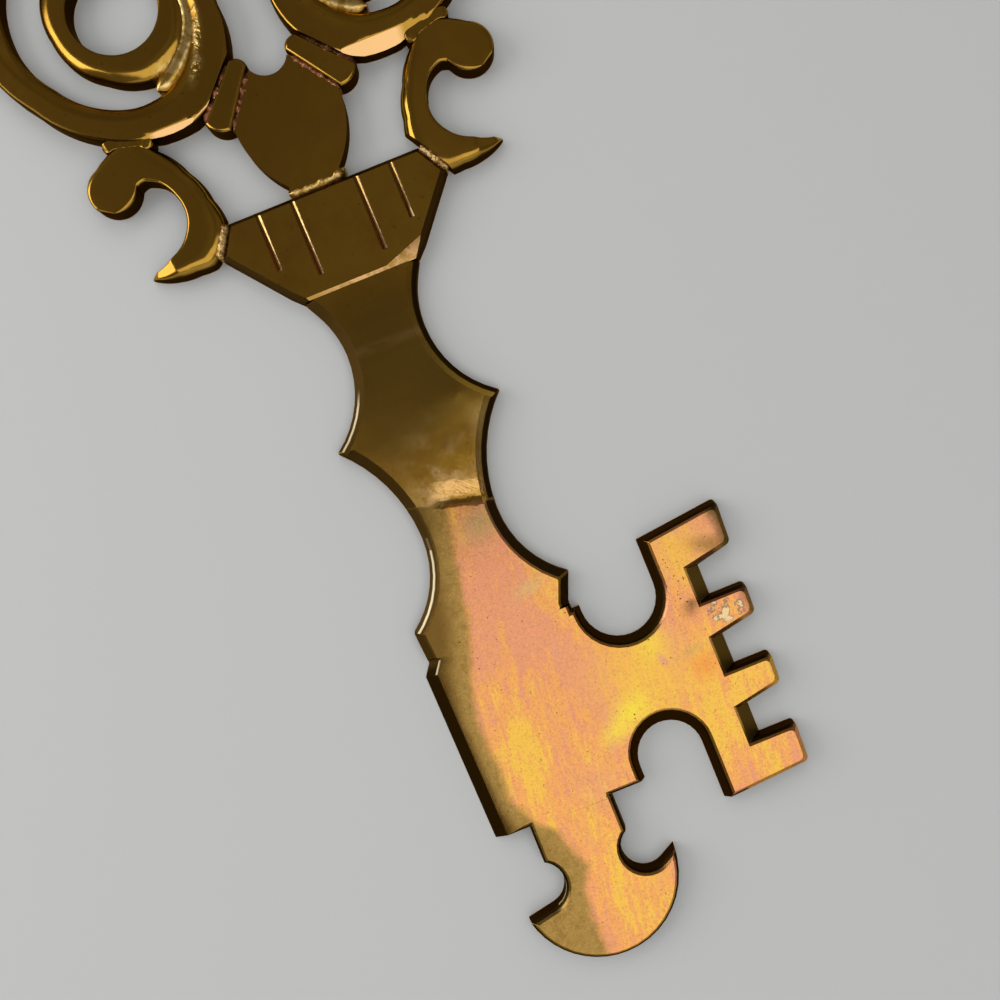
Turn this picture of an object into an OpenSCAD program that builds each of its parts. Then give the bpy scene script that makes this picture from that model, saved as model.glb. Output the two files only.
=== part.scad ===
// Decorative wall key in cast and brazed brass, 340 mm tall.
// The key hangs on a wall: +Z up along the key with the bow at the top, +X to the right as seen
// from the front, the front face towards -Y and the back on the wall at y = 0.
// The origin is on the axis of the hanging eye, at the back face.
// The pieces stand on each other from the tip up, so every height is measured from the one below.

/* [Plate] */
// How far the shank's axis lies right of the bow's axis
shank_set = 1.2; // [0:0.1:1.5]
// Thickness of the blade, shank, fan and tip
plate_t = 5; // [4:0.5:7]
// Width of the filed chamfer round the blade, fan and tip
edge_chamfer = 1.2; // [0.4:0.1:1.6]
// Depth of that chamfer below the front face
edge_depth = 1.2; // [0.4:0.1:2]
// How far the walls of the castings lean in between back and front
wall_draft = 0.4; // [0.1:0.1:1]

/* [Hanging eye] */
// Radius of the hole for the wall hook
eye_r = 4; // [2.5:0.5:5.5]
// Radius of the disc round the hole
crest_r = 9.5; // [8.5:0.5:12]
// Clearance between the disc and the ends of the volutes below it
crest_gap = 2.6; // [1:0.1:5]
// Width of the keystone below the disc
keystone_w = 12; // [9:0.5:14]
// How far the keystone reaches below the ends of the volutes
keystone_drop = 7.7; // [3:0.1:12]
// Thickness of the crest
crest_t = 5; // [4:0.5:6]

/* [Tip] */
// Radius of the round end of the tip
tip_r = 22; // [20:0.1:24]
// Radius of the two round notches
tip_notch_r = 6.1; // [5:0.1:7]
// Distance of each notch from the tip's axis
tip_notch_x = 14.7; // [13.5:0.1:16]
// Height of the middle of the notches above the bottom
tip_notch_h = 24.6; // [22:0.1:27]
// Height of the left fluke's point above the bottom
left_fluke_h = 17.1; // [15:0.1:20]
// Height of the right fluke's point above the bottom
right_fluke_h = 21.5; // [18:0.1:23]
// How far the tip's axis lies left of the shank's axis
tip_set = 1; // [0:0.1:1.5]
// Distance of the neck's left side from the shank's axis
neck_left = 13.1; // [11.5:0.1:14.5]
// Distance of the neck's right side from the shank's axis
neck_right = 10.8; // [9.5:0.1:12]
// Height of the blade's shoulders above the bottom of the tip
shoulder_h = 40.2; // [36:0.1:45]

/* [Blade] */
// Height of the blade from its shoulders to the joint with the shank
blade_h = 50.8; // [45:0.1:56]
// Distance of the left shoulder from the shank's axis
shoulder_left = 22.6; // [20:0.1:25]
// Distance of the top of the left edge from the axis
blade_left = 23.9; // [21.5:0.1:26]
// Distance of the left nick from the axis
nick_left = 21.7; // [19.5:0.1:23.5]
// Distance of the right nick from the axis
nick_right = 19.3; // [17.5:0.1:21]
// Height of the slope below the left nick
nick_h = 4; // [2:0.1:6]
// Width of the steep bevel down the left edge
left_bevel = 3.6; // [1:0.1:4.5]
// Width of the shallow bevel beside it, at the joint
left_hollow = 6.6; // [2:0.1:8]
// Where that bevel ends at the shoulder, beside the neck
hollow_gap = 0.6; // [0.3:0.1:3]

/* [Bit] */
// Radius of the U notch at the back
u_r = 10.3; // [9:0.1:11.5]
// How much wider the U notch is at the front
u_draft = 1.4; // [0.2:0.1:1.8]
// How far the middle of the U notch lies below the joint
u_drop = 3.3; // [2:0.1:6]
// Width of the land between the right nick and the U notch
land_w = 1.1; // [0.4:0.1:3]
// How far that land lies below the joint
land_drop = 1.4; // [1:0.1:1.8]
// Height of the bit's top beside the U notch, above the joint
bit_top_inner = 9.2; // [6:0.1:12]
// Height of the bit's top at its outer end, above the joint
bit_top_outer = 11.8; // [8:0.1:14]
// Reach of the teeth at the top, from the shank's axis
bit_top_x = 65.4; // [60:0.1:72]
// Reach of the teeth at the bottom, from the shank's axis
bit_bottom_x = 62.7; // [58:0.1:69]
// How far the bit hangs below the shoulders at its outer end
bit_drop_outer = 11.2; // [8:0.1:14]
// How far the bit hangs below the shoulders beside the arch
bit_drop_inner = 12.7; // [9:0.1:15]
// Height of the lowest tooth
first_tooth = 11.4; // [8:0.1:13]
// Distance between the notches
notch_pitch = 19.5; // [16:0.1:21]
// Height of a notch at its root
notch_root = 8.3; // [6:0.1:10]
// Height of a notch at its mouth
notch_mouth = 10.7; // [8:0.1:12.6]
// Depth of the notches
notch_depth = 9.6; // [6:0.1:11]
// How far the root of a notch slopes back towards the front
notch_slope = 3; // [0.5:0.1:4]
// Distance of the middle of the arch below the bit from the shank's axis
arch_x = 29.4; // [26:0.1:33]
// Height of the middle of the arch above the shoulders
arch_up = 3.3; // [1:0.1:6]
// Radius of the arch at the back
arch_r = 8.9; // [7.5:0.1:10]
// How much wider the arch is at the front
arch_draft = 1.4; // [0.2:0.1:2]
// How much higher the arch is at the front
arch_rise = 1.8; // [0.2:0.1:2.5]

/* [Shank] */
// Height of the knobs above the joint with the blade
knob_up = 8.4; // [6:0.1:10]
// Reach of the knobs
knob_x = 22.3; // [20:0.1:25]
// Height of the lower waist above the knobs
waist_low_up = 22.1; // [18:0.1:26]
// Half width at the lower waist
waist_low_x = 10.9; // [8:0.1:13]
// Height of the side spikes above the lower waist
spike_up = 29.6; // [25:0.1:34]
// Reach of the side spikes
spike_x = 23.4; // [20:0.1:26]
// Height of the upper waist above the spikes
waist_high_up = 23.1; // [20:0.1:27]
// Half width at the upper waist
waist_high_x = 11.2; // [8:0.1:13]
// Height of the crease where shank and fan meet, above the upper waist
crease_up = 16.8; // [14:0.1:20]
// Width of the shank's chamfer
shank_chamfer = 2.8; // [1:0.1:3.4]
// Depth of the shank's chamfer
shank_chamfer_depth = 2.6; // [1:0.1:3]

/* [Fan] */
// Height of the fan's lower corners above the crease
fan_flare_h = 18.8; // [15:0.1:22]
// Height of its slanted ends
fan_end_h = 8.5; // [7:0.1:10]
// Half width of the top edge
fan_top_x = 27.2; // [24:0.1:31]
// How much further out the lower corners are
fan_end_w = 5; // [3.5:0.1:6.5]
// Distance of the two inner rays from the axis
inner_ray_x = 9; // [6:0.1:12]
// Distance of the two outer rays from the axis
outer_ray_x = 18.8; // [15:0.1:22]
// Length of the inner rays
inner_ray_l = 22; // [10:0.5:25]
// Length of the outer rays
outer_ray_l = 17; // [8:0.5:19]
// Width of a ray groove
ray_w = 1.4; // [0.6:0.1:2]
// Depth of a ray groove
ray_depth = 0.7; // [0.3:0.1:1.5]

/* [Vase] */
// Half width of the vase's foot
foot_x = 7.1; // [6:0.1:8.4]
// Height of the foot up to where the body swells out
foot_h = 1.5; // [1.2:0.1:4.5]
// Half width of the vase's body
vase_x = 14.8; // [13:0.1:16.5]
// Height of the widest part of the body above the foot
vase_up = 20.4; // [17:0.1:23]
// Thickness of the vase
vase_t = 5.4; // [4.5:0.1:6.5]
// Width of the vase's chamfer
vase_chamfer = 1.4; // [0.5:0.1:2]
// Radius of the saddle between the collars
saddle_r = 5.9; // [5:0.1:6.6]
// Height of the bottom of the saddle above the widest part
saddle_up = 10.2; // [8.5:0.1:12]

/* [Collars] */
// Slope of the seam between vase and collar, in degrees
seam_angle = 55; // [52:0.5:58]
// Slope of the seam between collar and volute, in degrees
volute_seam_angle = 48; // [45:0.5:52]
// Length of the collars
collar_l = 17.4; // [15:0.1:18.5]
// How far their rounded ends stand out
collar_bulge = 1.4; // [0.5:0.1:2.2]
// Thickness of the collars
collar_t = 6; // [5:0.1:7]

/* [Volutes] */
// Outer radius of the volutes where they sit on the C-scrolls
volute_r = 35.5; // [33:0.1:38]
// Radius of the round eye
volute_eye_r = 12.1; // [10.5:0.1:13.5]
// Thickness of the volutes
volute_t = 6; // [5:0.1:7]
// Gap between two coils where they touch
coil_gap = 0.4; // [0.3:0.05:0.8]

/* [C-scrolls] */
// Outer radius of a C-scroll's stem
c_r = 17.5; // [16:0.1:19]
// How far its middle lies above the middle of the fan's slanted end, along that end
c_side = 3; // [1:0.1:5]
// Distance of the ball end from the middle
c_ball_reach = 12.4; // [11:0.1:13.5]
// Radius of the ball end
c_ball_r = 6.8; // [6:0.1:7.6]
// Thickness of the C-scrolls
c_t = 5.6; // [4.5:0.1:6.5]
// Slope of the seat on the volute, in degrees
seat_angle = 15.6; // [13:0.2:18]
// How far the middle of the seat lies towards the ball end
seat_side = 3; // [1:0.1:5]
// Length of the seat
seat_l = 9; // [6:0.1:10]

/* [Joints] */
// Thickness of a braze layer
braze_t = 0.8; // [0.4:0.1:1]
// How far the braze lies below the faces beside it
braze_sink = 1.2; // [0.5:0.1:2]
// Width of the tongues in the butt joints
tongue_w = 9; // [6:0.5:11]
// Length of the tongues
tongue_l = 6; // [4:0.5:8]
// Thickness of the tongues
tongue_t = 2; // [1.5:0.1:2.5]
// Clearance round a tongue
tongue_gap = 0.1; // [0.05:0.05:0.2]

/* [Hidden] */
$fn = 64;
// A length past every edge, for cutting tools
far = 500;
// How far outlines run past the plane that trims them
spare = 9;
// How far the joint between tip and blade lies below the shoulders
neck_joint_drop = 0.8;
brass = "goldenrod";
dark_brass = "darkgoldenrod";
braze_colour = "sienna";

// Heights above the bottom of the tip
neck_joint_h = shoulder_h - neck_joint_drop;
joint_h = shoulder_h + blade_h;
knob_h = joint_h + knob_up;
waist_low_h = knob_h + waist_low_up;
spike_h = waist_low_h + spike_up;
waist_high_h = spike_h + waist_high_up;
crease_h = waist_high_h + crease_up;
fan_corner_h = crease_h + fan_flare_h;
fan_h = fan_corner_h + fan_end_h;
fan_x = fan_top_x + fan_end_w;
vase_h = fan_h + braze_t + vase_up;
saddle_h = vase_h + saddle_up;
// The lowest notch's edge and the middle of the U notch
notch_h = shoulder_h - bit_drop_outer + first_tooth;
u_h = joint_h - u_drop;
u_x = nick_right - wall_draft + land_w + u_r + u_draft;

// The spiral of a left volute, seen from the front: the angle round the eye, then the radii of
// its outer and inner edge as shares of volute_r. It runs from the crest down to the collar.
spiral = [[30, 1.369, 1.07], [60, 1.324, 1.028], [90, 1.256, 0.963], [120, 1.172, 0.896],
    [150, 1.093, 0.862], [180, 1.048, 0.8], [210, 0.961, 0.727], [240, 0.977, 0.724],
    [262, 1.011, 0.732], [284, 1.042, 0.71], [292, 1.031, 0.682], [300, 0.997, 0.654],
    [318, 0.918, 0.586], [345, 0.755, 0.53], [390, 0.676, 0.439], [420, 0.625, 0.389],
    [450, 0.586, 0.349], [490, 0.589, 0.315], [545, 0.521, 0.315], [600, 0.524, 0.315],
    [636, 0.592, 0.315], [850, 0.592, 0.315]];
spiral_start = 36;
spiral_end = 792;
spiral_step = 9;
// Where the inner coil touches the outer one
coil_braze_start = 315;
coil_braze_end = 378;
// Where the two edges of a volute's end meet the side of the keystone
end_outer_angle = 57;
end_inner_angle = 45;

// A right C-scroll: the angle round its middle and the radii of its edges, as shares of c_r
c_outer = [[30, 0.971], [60, 1.069], [76, 1.143], [95, 1.251], [108, 1.194], [117, 1.097],
    [149, 0.966], [180, 1.006], [200, 1.15], [212, 1.22], [224, 1.23], [236, 1.205],
    [248, 1.074], [266, 0.971], [283, 0.897], [290, 0.869]];
c_inner = [[30, 0.8], [72, 0.549], [92, 0.486], [107, 0.571], [129, 0.577], [162, 0.56],
    [190, 0.583], [221, 0.606], [256, 0.663], [284, 0.76], [290, 0.84]];
c_ball_angle = 63.5;
c_end = 290;
// Distance of the fan's end and of the collar's seam from a scroll's middle, as shares of its radius
c_foot_share = 1.117;
volute_seam_share = 0.918;
// How far the scrolls are cut flat where they seat
seat_sink = 0.9;
volute_sink = 0.3;
// How far the braze on the volute stays clear of the collar's lower end
collar_inset = 3.6;
// Share of a bar's or bead's thickness that rises straight, below the rounded part
straight_share = 0.42;
// How square the rounded part of a bar is: 1 is an ellipse
bar_round = 0.8;
// Thickness of a bar where it runs out to nothing, and how fast it grows with the bar's width
bar_edge_t = 1;
bar_growth = 0.85;
// Share of the inner turn's thickness that the braze between two turns has
coil_braze_share = 0.6;
// How much of a collar's narrower end is rounded, and how far round the rounding goes
collar_round_share = 0.45;
collar_round_end = 75;
// Steps of a C-scroll's bar and the gap in angle after its ball
c_step = 7.5;
c_ball_clear = 4;
c_ball_open = 0.4;
// Length of straight edge below the shank's waist curves, and either side of the crease
nick_step = 1;
flare_below = 3.5;
flare_above = 3;
// How far the vase's foot spreads under its neck
foot_flare = 0.7;
// Angle that two neighbouring waist curves leave free between them
waist_gap = 2;
// A little more than the width of what is trimmed level at a joint
slack = 0.1;

// Points along a round arc about c, of radius r, from angle a0 to angle a1
function arc(c, r, a0, a1, n = 10) = [for (i = [0:n]) let (a = a0 + (a1 - a0) * i / n)
    c + r * [cos(a), sin(a)]];

// Radius of a waist's curve, from its narrowest point to a point dx further out and dh away
function waist_r(dx, dh) = (dx * dx + dh * dh) / (2 * dx);

// An arc from p to q that stands out by s on the right of the way from p to q
function bulge(p, q, s, n = 6) = let (
        d = norm(q - p) / 2,
        r = (d * d + s * s) / (2 * s),
        u = (q - p) / (2 * d),
        c = (p + q) / 2 + [-u.y, u.x] * (r - s),
        half = asin(d / r),
        a = atan2(-u.x, u.y))
    arc(c, r, a - half, a + half, n);

function unit(v) = v / norm(v);
function reverse(p) = [for (i = [len(p) - 1:-1:0]) p[i]];
function mirrored(p) = [for (q = reverse(p)) [-q.x, q.y]];

// The direction a, and the direction square to it on its right
function along(a) = [cos(a), sin(a)];
function right_of(a) = [sin(a), -cos(a)];

// A closed outline, counter-clockwise, moved inwards by d
function inset(p, d) = let (n = len(p)) [for (i = [0:n - 1])
    let (a = unit(p[i] - p[(i + n - 1) % n]), b = unit(p[(i + 1) % n] - p[i]),
        na = [-a.y, a.x], nb = [-b.y, b.x])
    p[i] + d * (na + nb) / (1 + na * nb)];

// Triangles that fill a closed outline, cut off one corner at a time. left holds the numbers of
// the points that are still there.
function turn(a, b, c) = (b.x - a.x) * (c.y - a.y) - (b.y - a.y) * (c.x - a.x);
function is_ear(p, left, k) = let (
        n = len(left),
        a = p[left[(k + n - 1) % n]],
        b = p[left[k]],
        c = p[left[(k + 1) % n]])
    turn(a, b, c) > 0 && len([for (j = left) let (q = p[j])
        if (q != a && q != b && q != c
            && turn(a, b, q) >= 0 && turn(b, c, q) >= 0 && turn(c, a, q) >= 0) j]) == 0;
function first_ear(p, left, k) =
    k == len(left) - 1 || is_ear(p, left, k) ? k : first_ear(p, left, k + 1);
function filled(p, left) = let (n = len(left), k = n > 3 ? first_ear(p, left, 0) : 1)
    n < 3 ? [] : concat([[left[(k + n - 1) % n], left[k], left[(k + 1) % n]]],
        filled(p, [for (i = [0:n - 1]) if (i != k) left[i]]));

// What is left of an outline on the left of the line through q in the direction a
function trimmed(p, q, a) = let (side = [for (c = p) (q - c) * right_of(a)])
    [for (i = [0:len(p) - 1]) let (j = (i + 1) % len(p)) each concat(
        side[i] >= 0 ? [p[i]] : [],
        side[i] * side[j] < 0 ? [p[i] + (p[j] - p[i]) * side[i] / (side[i] - side[j])] : [])];

// An outline whose points between x0 and x1 are kept between two heights, where its sides there
// run straight up and down
function between(p, x0, x1, low, high) = [for (q = p)
    q.x > x0 && q.x < x1 ? [q.x, max(low, min(high, q.y))] : q];

// Edges of a volute, and of its inner coil where the outer one limits it
function outer_edge(a) = volute_r * lookup(a, [for (s = spiral) [s[0], s[1]]]);
function inner_edge(a) = max(volute_eye_r, volute_r * lookup(a, [for (s = spiral) [s[0], s[2]]]));
function coil_outer(a) = a < 400 ? outer_edge(a)
    : min(outer_edge(a), inner_edge(a - 360) - coil_gap);

// The C-scroll stands on the fan's slanted end, and the volute sits on the C-scroll
fan_end_angle = atan2(fan_end_h, -fan_end_w);
fan_end_l = norm([fan_end_w, fan_end_h]);
c_mid = [fan_top_x + fan_end_w / 2, fan_corner_h + fan_end_h / 2]
    + c_r * c_foot_share * right_of(fan_end_angle) + c_side * along(fan_end_angle);
seat = c_mid + (c_r * lookup(90 + seat_angle, c_outer) - seat_sink + braze_t) * -right_of(seat_angle)
    + seat_side * along(seat_angle);
eye_mid = seat + (outer_edge(270 - seat_angle) - volute_sink) * -right_of(seat_angle);

// Height at which a circle of radius r round a volute's eye meets the braze on the keystone
function beside_crest(r) = eye_mid.y + sqrt(r * r - pow(eye_mid.x - keystone_w / 2 - braze_t, 2));
eye_h = beside_crest(outer_edge(end_outer_angle)) + crest_gap
    + sqrt(crest_r * crest_r - pow(keystone_w / 2 + braze_t, 2));
keystone_h = beside_crest(inner_edge(end_inner_angle)) - keystone_drop;

// The seam between vase and collar: s along it from the vase's widest point, t away from it.
// collar_end is how far from it the volute's seam lies.
function seam_point(s, t) = [vase_x, vase_h] + s * along(180 - seam_angle) + t * right_of(180 - seam_angle);
function collar_end(s) = let (n = -right_of(180 - volute_seam_angle))
    (eye_mid + volute_r * volute_seam_share * n - seam_point(s, 0)) * n / (right_of(180 - seam_angle) * n);
function collar_side(s) = collar_end(s) - braze_t / cos(seam_angle - volute_seam_angle);

// Everything is drawn by its height above the tip and hangs from the eye
module hung() {
    translate([0, 0, -eye_h])
        children();
}

// The tip, blade, shank and fan stand a little right of the bow's axis
module on_shank() {
    translate([shank_set, 0, 0])
        children();
}

// A piece of the bow drawn for the right side, or mirrored to the left
module in_bow(left) {
    if (left)
        mirror([1, 0, 0])
            children();
    else
        children();
}

// A solid through outlines that have the same number of points. The outlines are seen from the
// front, and depths says how far each lies in front of the wall.
module lofted(outlines, depths) {
    n = len(outlines[0]);
    m = len(outlines);
    all = [for (i = [0:n - 1]) i];
    points = [for (k = [0:m - 1]) for (p = outlines[k]) [p.x, -depths[k], p.y]];
    front = [for (t = filled(outlines[m - 1], all)) [for (i = reverse(t)) (m - 1) * n + i]];
    sides = [for (k = [0:m - 2]) for (i = all) let (j = (i + 1) % n) each
        [[k * n + i, (k + 1) * n + i, (k + 1) * n + j], [k * n + i, (k + 1) * n + j, k * n + j]]];
    polyhedron(points = points, faces = concat(filled(outlines[0], all), front, sides), convexity = 8);
}

// A plate with leaning walls and a chamfered front. cut trims each outline at the joints.
module plate(outline, t, draft, chamfer, depth, cut) {
    lofted([cut(outline), cut(inset(outline, draft)), cut(inset(outline, draft + chamfer))],
        [0, t - depth, t]);
}

// A bar bent round c, seen from the front. stations holds an angle, an outer and an inner
// radius and a thickness for each section, and the front is rounded.
module bent_bar(c, stations, corners = 8) {
    section = concat([[-1, 0]], [for (i = [0:corners]) let (a = 180 - 180 * i / corners)
        [sign(cos(a)) * pow(abs(cos(a)), bar_round),
            straight_share + (1 - straight_share) * pow(sin(a), bar_round)]],
        [[1, 0]]);
    n = len(section);
    m = len(stations);
    points = [for (s = stations) for (p = section)
        let (r = (s[1] + s[2]) / 2 + p.x * (s[1] - s[2]) / 2)
        [c.x + r * cos(s[0]), -p.y * s[3], c.y + r * sin(s[0])]];
    start = [for (i = [0:n - 1]) i];
    end = [for (i = [n - 1:-1:0]) (m - 1) * n + i];
    sides = [for (k = [0:m - 2]) for (i = [0:n - 1]) let (j = (i + 1) % n) each
        [[k * n + i, (k + 1) * n + i, (k + 1) * n + j], [k * n + i, (k + 1) * n + j, k * n + j]]];
    polyhedron(points = points, faces = concat([start, end], sides), convexity = 10);
}

// Thickness of a bar of width w, thinner towards its ends
function bar_t(w, full) = min(full, bar_edge_t + bar_growth * w);

// Seen from the front: everything to the left of a line through p in the direction a
module left_of(p, a) {
    translate([p.x, 0, p.y])
        rotate([0, -a, 0])
            translate([-far, -far, 0])
                cube([2 * far, 2 * far, far]);
}

// A slab of braze, seen from the front: it starts at p, runs l along the direction a and lies
// on the left of that line
module braze_slab(p, a, l, t, w) {
    translate([p.x, 0, p.y])
        rotate([0, -a, 0])
            translate([0, -t, 0])
                cube([l, t, w]);
}

// A tongue on the piece below height h, and the socket for it in the piece above
module tongue(h) {
    translate([-tongue_w / 2, -(plate_t + tongue_t) / 2, h - tongue_l / 2])
        cube([tongue_w, tongue_t, tongue_l * 1.5]);
}

module socket(h) {
    translate([-tongue_w / 2 - tongue_gap, -(plate_t + tongue_t) / 2 - tongue_gap, h - tongue_l / 2])
        cube([tongue_w + 2 * tongue_gap, tongue_t + 2 * tongue_gap, tongue_l * 1.5 + tongue_gap]);
}

// Tip: half of its outline from the bottom up to the neck, for a fluke point at height h and a
// neck whose side lies neck_x from the tip's axis
function tip_side(h, neck_x) = let (
        notch = [tip_notch_x, tip_notch_h],
        point = [sqrt(tip_r * tip_r - (h - tip_r) * (h - tip_r)), h],
        away = point - notch,
        leave = atan2(away.y, away.x) - acos(min(1, tip_notch_r / norm(away))),
        neck = 180 - acos(max(-1, min(1, (tip_notch_x - neck_x) / tip_notch_r))))
    concat(
        arc([0, tip_r], tip_r, -90, atan2(h - tip_r, point.x)),
        arc(notch, tip_notch_r, leave, neck - 360, 14),
        [[neck_x, shoulder_h + spare]]);

module tip() {
    left = mirrored(tip_side(left_fluke_h, neck_left - tip_set));
    outline = concat(tip_side(right_fluke_h, neck_right + tip_set), [for (i = [0:len(left) - 2]) left[i]]);
    color(brass)
        hung()
            on_shank() {
                translate([-tip_set, 0, 0])
                    plate(outline, plate_t, wall_draft, edge_chamfer, edge_depth,
                        function (p) between(p, -far, far, 0, neck_joint_h));
                tongue(neck_joint_h);
            }
}

// Left edge of the blade at the back, where the steep bevel ends and where the flat face starts:
// its distance from the axis at the shoulder, at the top of the edge and in the nick
left_edges = [
    [shoulder_left, blade_left, nick_left],
    [shoulder_left - left_bevel, blade_left - left_bevel, nick_left - left_bevel],
    [neck_left + hollow_gap + edge_chamfer, blade_left - left_bevel - left_hollow + edge_chamfer,
        nick_left - left_bevel - left_hollow + edge_chamfer]];

// Blade and bit: the outline at the back for k = 0 and where the chamfer starts for k = 1. The
// left edge has a place of its own.
function blade_outline(k, left) = let (
        d = k * wall_draft,
        u = u_r + k * u_draft,
        a = arch_r + k * arch_draft,
        end_h = shoulder_h - bit_drop_outer,
        lean = (bit_top_x - bit_bottom_x) / (joint_h + bit_top_outer - end_h))
    concat(
        [[-left[0], shoulder_h + d], [-neck_left + d, shoulder_h + d],
            [-neck_left + d, shoulder_h - spare], [neck_right - d, shoulder_h - spare],
            [neck_right - d, shoulder_h + d], [arch_x - a, shoulder_h + d]],
        arc([arch_x, shoulder_h + arch_up + k * arch_rise], a, 180, 0, 16),
        [[arch_x + a, shoulder_h - bit_drop_inner + d], [bit_bottom_x - d, end_h + d]],
        [for (i = [0:2]) let (
                low = notch_h + i * notch_pitch,
                reach = bit_bottom_x - d + lean * (low - end_h),
                root = reach - notch_depth - k * notch_slope)
            each [[reach, low - d], [root, low - d], [root, low + notch_root + d],
                [reach + lean * notch_mouth, low + notch_mouth + d]]],
        [[bit_top_x - d, joint_h + bit_top_outer - 2 * d], [u_x + u, joint_h + bit_top_inner - 2 * d]],
        arc([u_x, u_h], u, 0, -180, 16),
        [[u_x - u, joint_h - land_drop], [nick_right - d, joint_h - land_drop],
            [nick_right - d, joint_h + spare], [-left[2], joint_h + spare],
            [-left[2], joint_h - braze_t], [-left[1], joint_h - nick_h]]);

// The blade's outline with its joints to the tip and the shank cut level
function blade_jointed(p) = between(between(p, -neck_left - slack, neck_right + slack, neck_joint_h, far),
    -far, nick_right + slack, 0, joint_h);

module blade() {
    face = inset(blade_outline(1, left_edges[2]), edge_chamfer);
    color(brass)
        hung()
            on_shank() {
                difference() {
                    lofted([for (p = [blade_outline(0, left_edges[0]), blade_outline(1, left_edges[1]), face])
                        blade_jointed(p)], [0, plate_t - edge_depth, plate_t]);
                    socket(neck_joint_h);
                }
                tongue(joint_h);
            }
}

// The flare above the upper waist: its angle round the curve's middle at height h, and a point
// that lies l further along the straight line that touches it there
function flare_r() = waist_r(spike_x - waist_high_x, waist_high_h - spike_h);
function flare_angle(h) = asin(min(1, (h - waist_high_h) / flare_r()));
function flare_point(h, l) = let (a = 180 - flare_angle(h))
    [waist_high_x + flare_r(), waist_high_h] + flare_r() * along(a) + l * right_of(a);

// Shank: the right side from below the nick up to the fan's flare
function waists() = let (
        knob_r = waist_r(knob_x - waist_low_x, waist_low_h - knob_h),
        low_r = waist_r(spike_x - waist_low_x, spike_h - waist_low_h),
        high_r = flare_r())
    concat(
        arc([waist_low_x + knob_r, waist_low_h], knob_r, 180 + asin((waist_low_h - knob_h) / knob_r), 180, 8),
        arc([waist_low_x + low_r, waist_low_h], low_r,
            180 - waist_gap, 180 - asin((spike_h - waist_low_h) / low_r), 8),
        arc([waist_high_x + high_r, waist_high_h], high_r,
            180 + asin((waist_high_h - spike_h) / high_r) - waist_gap, 180, 8),
        arc([waist_high_x + high_r, waist_high_h], high_r,
            180 - waist_gap, 180 - flare_angle(crease_h - flare_below), 6),
        [flare_point(crease_h - flare_below, 2 * spare)]);

function shank_side(nick) = concat([[nick, joint_h - spare], [nick, joint_h + nick_step]], waists());

module shank() {
    outline = concat(shank_side(nick_right), mirrored(shank_side(nick_left)));
    color(brass)
        hung()
            on_shank() {
                difference() {
                    plate(outline, plate_t, wall_draft / 2, shank_chamfer, shank_chamfer_depth,
                        function (p) trimmed(between(p, -far, far, joint_h, far), [0, crease_h], 180));
                    socket(joint_h);
                }
                tongue(crease_h);
            }
}

// Fan plate: the flare above the crease, its two slanted ends and the top edge
function fan_side() = [flare_point(crease_h + flare_above, -2 * spare),
    flare_point(crease_h + flare_above, 0), [fan_x, fan_corner_h], [fan_top_x, fan_h]];

module ray(x, l) {
    translate([x, -plate_t, fan_h - l])
        rotate([atan(ray_depth / l), 0, 0])
            linear_extrude(l * 1.2)
                polygon([[-ray_w / 2, -1], [ray_w / 2, -1], [ray_w / 2, 0], [0, ray_depth], [-ray_w / 2, 0]]);
}

module fan_plate() {
    outline = concat(fan_side(), mirrored(fan_side()));
    color(brass)
        hung() {
            on_shank()
                difference() {
                    plate(outline, plate_t, wall_draft, edge_chamfer, edge_depth,
                        function (p) trimmed(p, [0, crease_h], 0));
                    socket(crease_h);
                    for (s = [-1, 1]) {
                        ray(s * inner_ray_x, inner_ray_l);
                        ray(s * outer_ray_x, outer_ray_l);
                    }
                }
            tongue(fan_h);
        }
}

// Vase: its outline runs past the two slanted seams, which trim it
function vase_side() = let (
        base_h = fan_h + braze_t + foot_h,
        r = waist_r(vase_x - foot_x, vase_h - base_h))
    concat(
        [[foot_x + foot_flare, fan_h + braze_t], [foot_x, base_h - foot_h / 3]],
        arc([vase_x - r, vase_h], r, -asin((vase_h - base_h) / r), 0, 12),
        [[vase_x, vase_h + 2 * collar_l], [saddle_r, vase_h + 2 * collar_l]],
        arc([0, saddle_h + saddle_r], saddle_r, 0, -82, 8));

module vase() {
    outline = concat(vase_side(), mirrored(vase_side()));
    color(dark_brass)
        hung()
            difference() {
                plate(outline, vase_t, wall_draft / 2, vase_chamfer, vase_chamfer,
                    function (p) trimmed(trimmed(p, seam_point(0, 0), 180 - seam_angle),
                        [-vase_x, vase_h], 180 + seam_angle));
                socket(fan_h);
            }
}

// Collar: a half-round bead between the vase's seam and the volute's seam. Its outline, seen from
// the front, is drawn in by d all round.
function collar_outline(d) = concat(
    bulge(seam_point(d, braze_t + d), seam_point(d, collar_side(d) - d), collar_bulge),
    bulge(seam_point(collar_l - d, collar_side(collar_l - d) - d), seam_point(collar_l - d, braze_t + d),
        collar_bulge * (1 - d / (collar_side(collar_l) - braze_t))));

module collar(left) {
    angles = [0:collar_round_end / 3:collar_round_end];
    depth = collar_round_share * (collar_side(collar_l) - braze_t);
    color(dark_brass)
        hung()
            in_bow(left)
                lofted(
                    concat([collar_outline(0)], [for (a = angles) collar_outline(depth * (1 - cos(a)))]),
                    concat([0], [for (a = angles)
                        collar_t * (straight_share + (1 - straight_share) * sin(a) / sin(collar_round_end))]));
}

module left_collar() {
    collar(true);
}

module right_collar() {
    collar(false);
}

// Volute: a tapered bar wound inwards round its eye
function volute_stations() = [for (a = [spiral_start:spiral_step:spiral_end])
    let (o = coil_outer(a), i = inner_edge(a)) [a, o, i, bar_t(o - i, volute_t)]];

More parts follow.
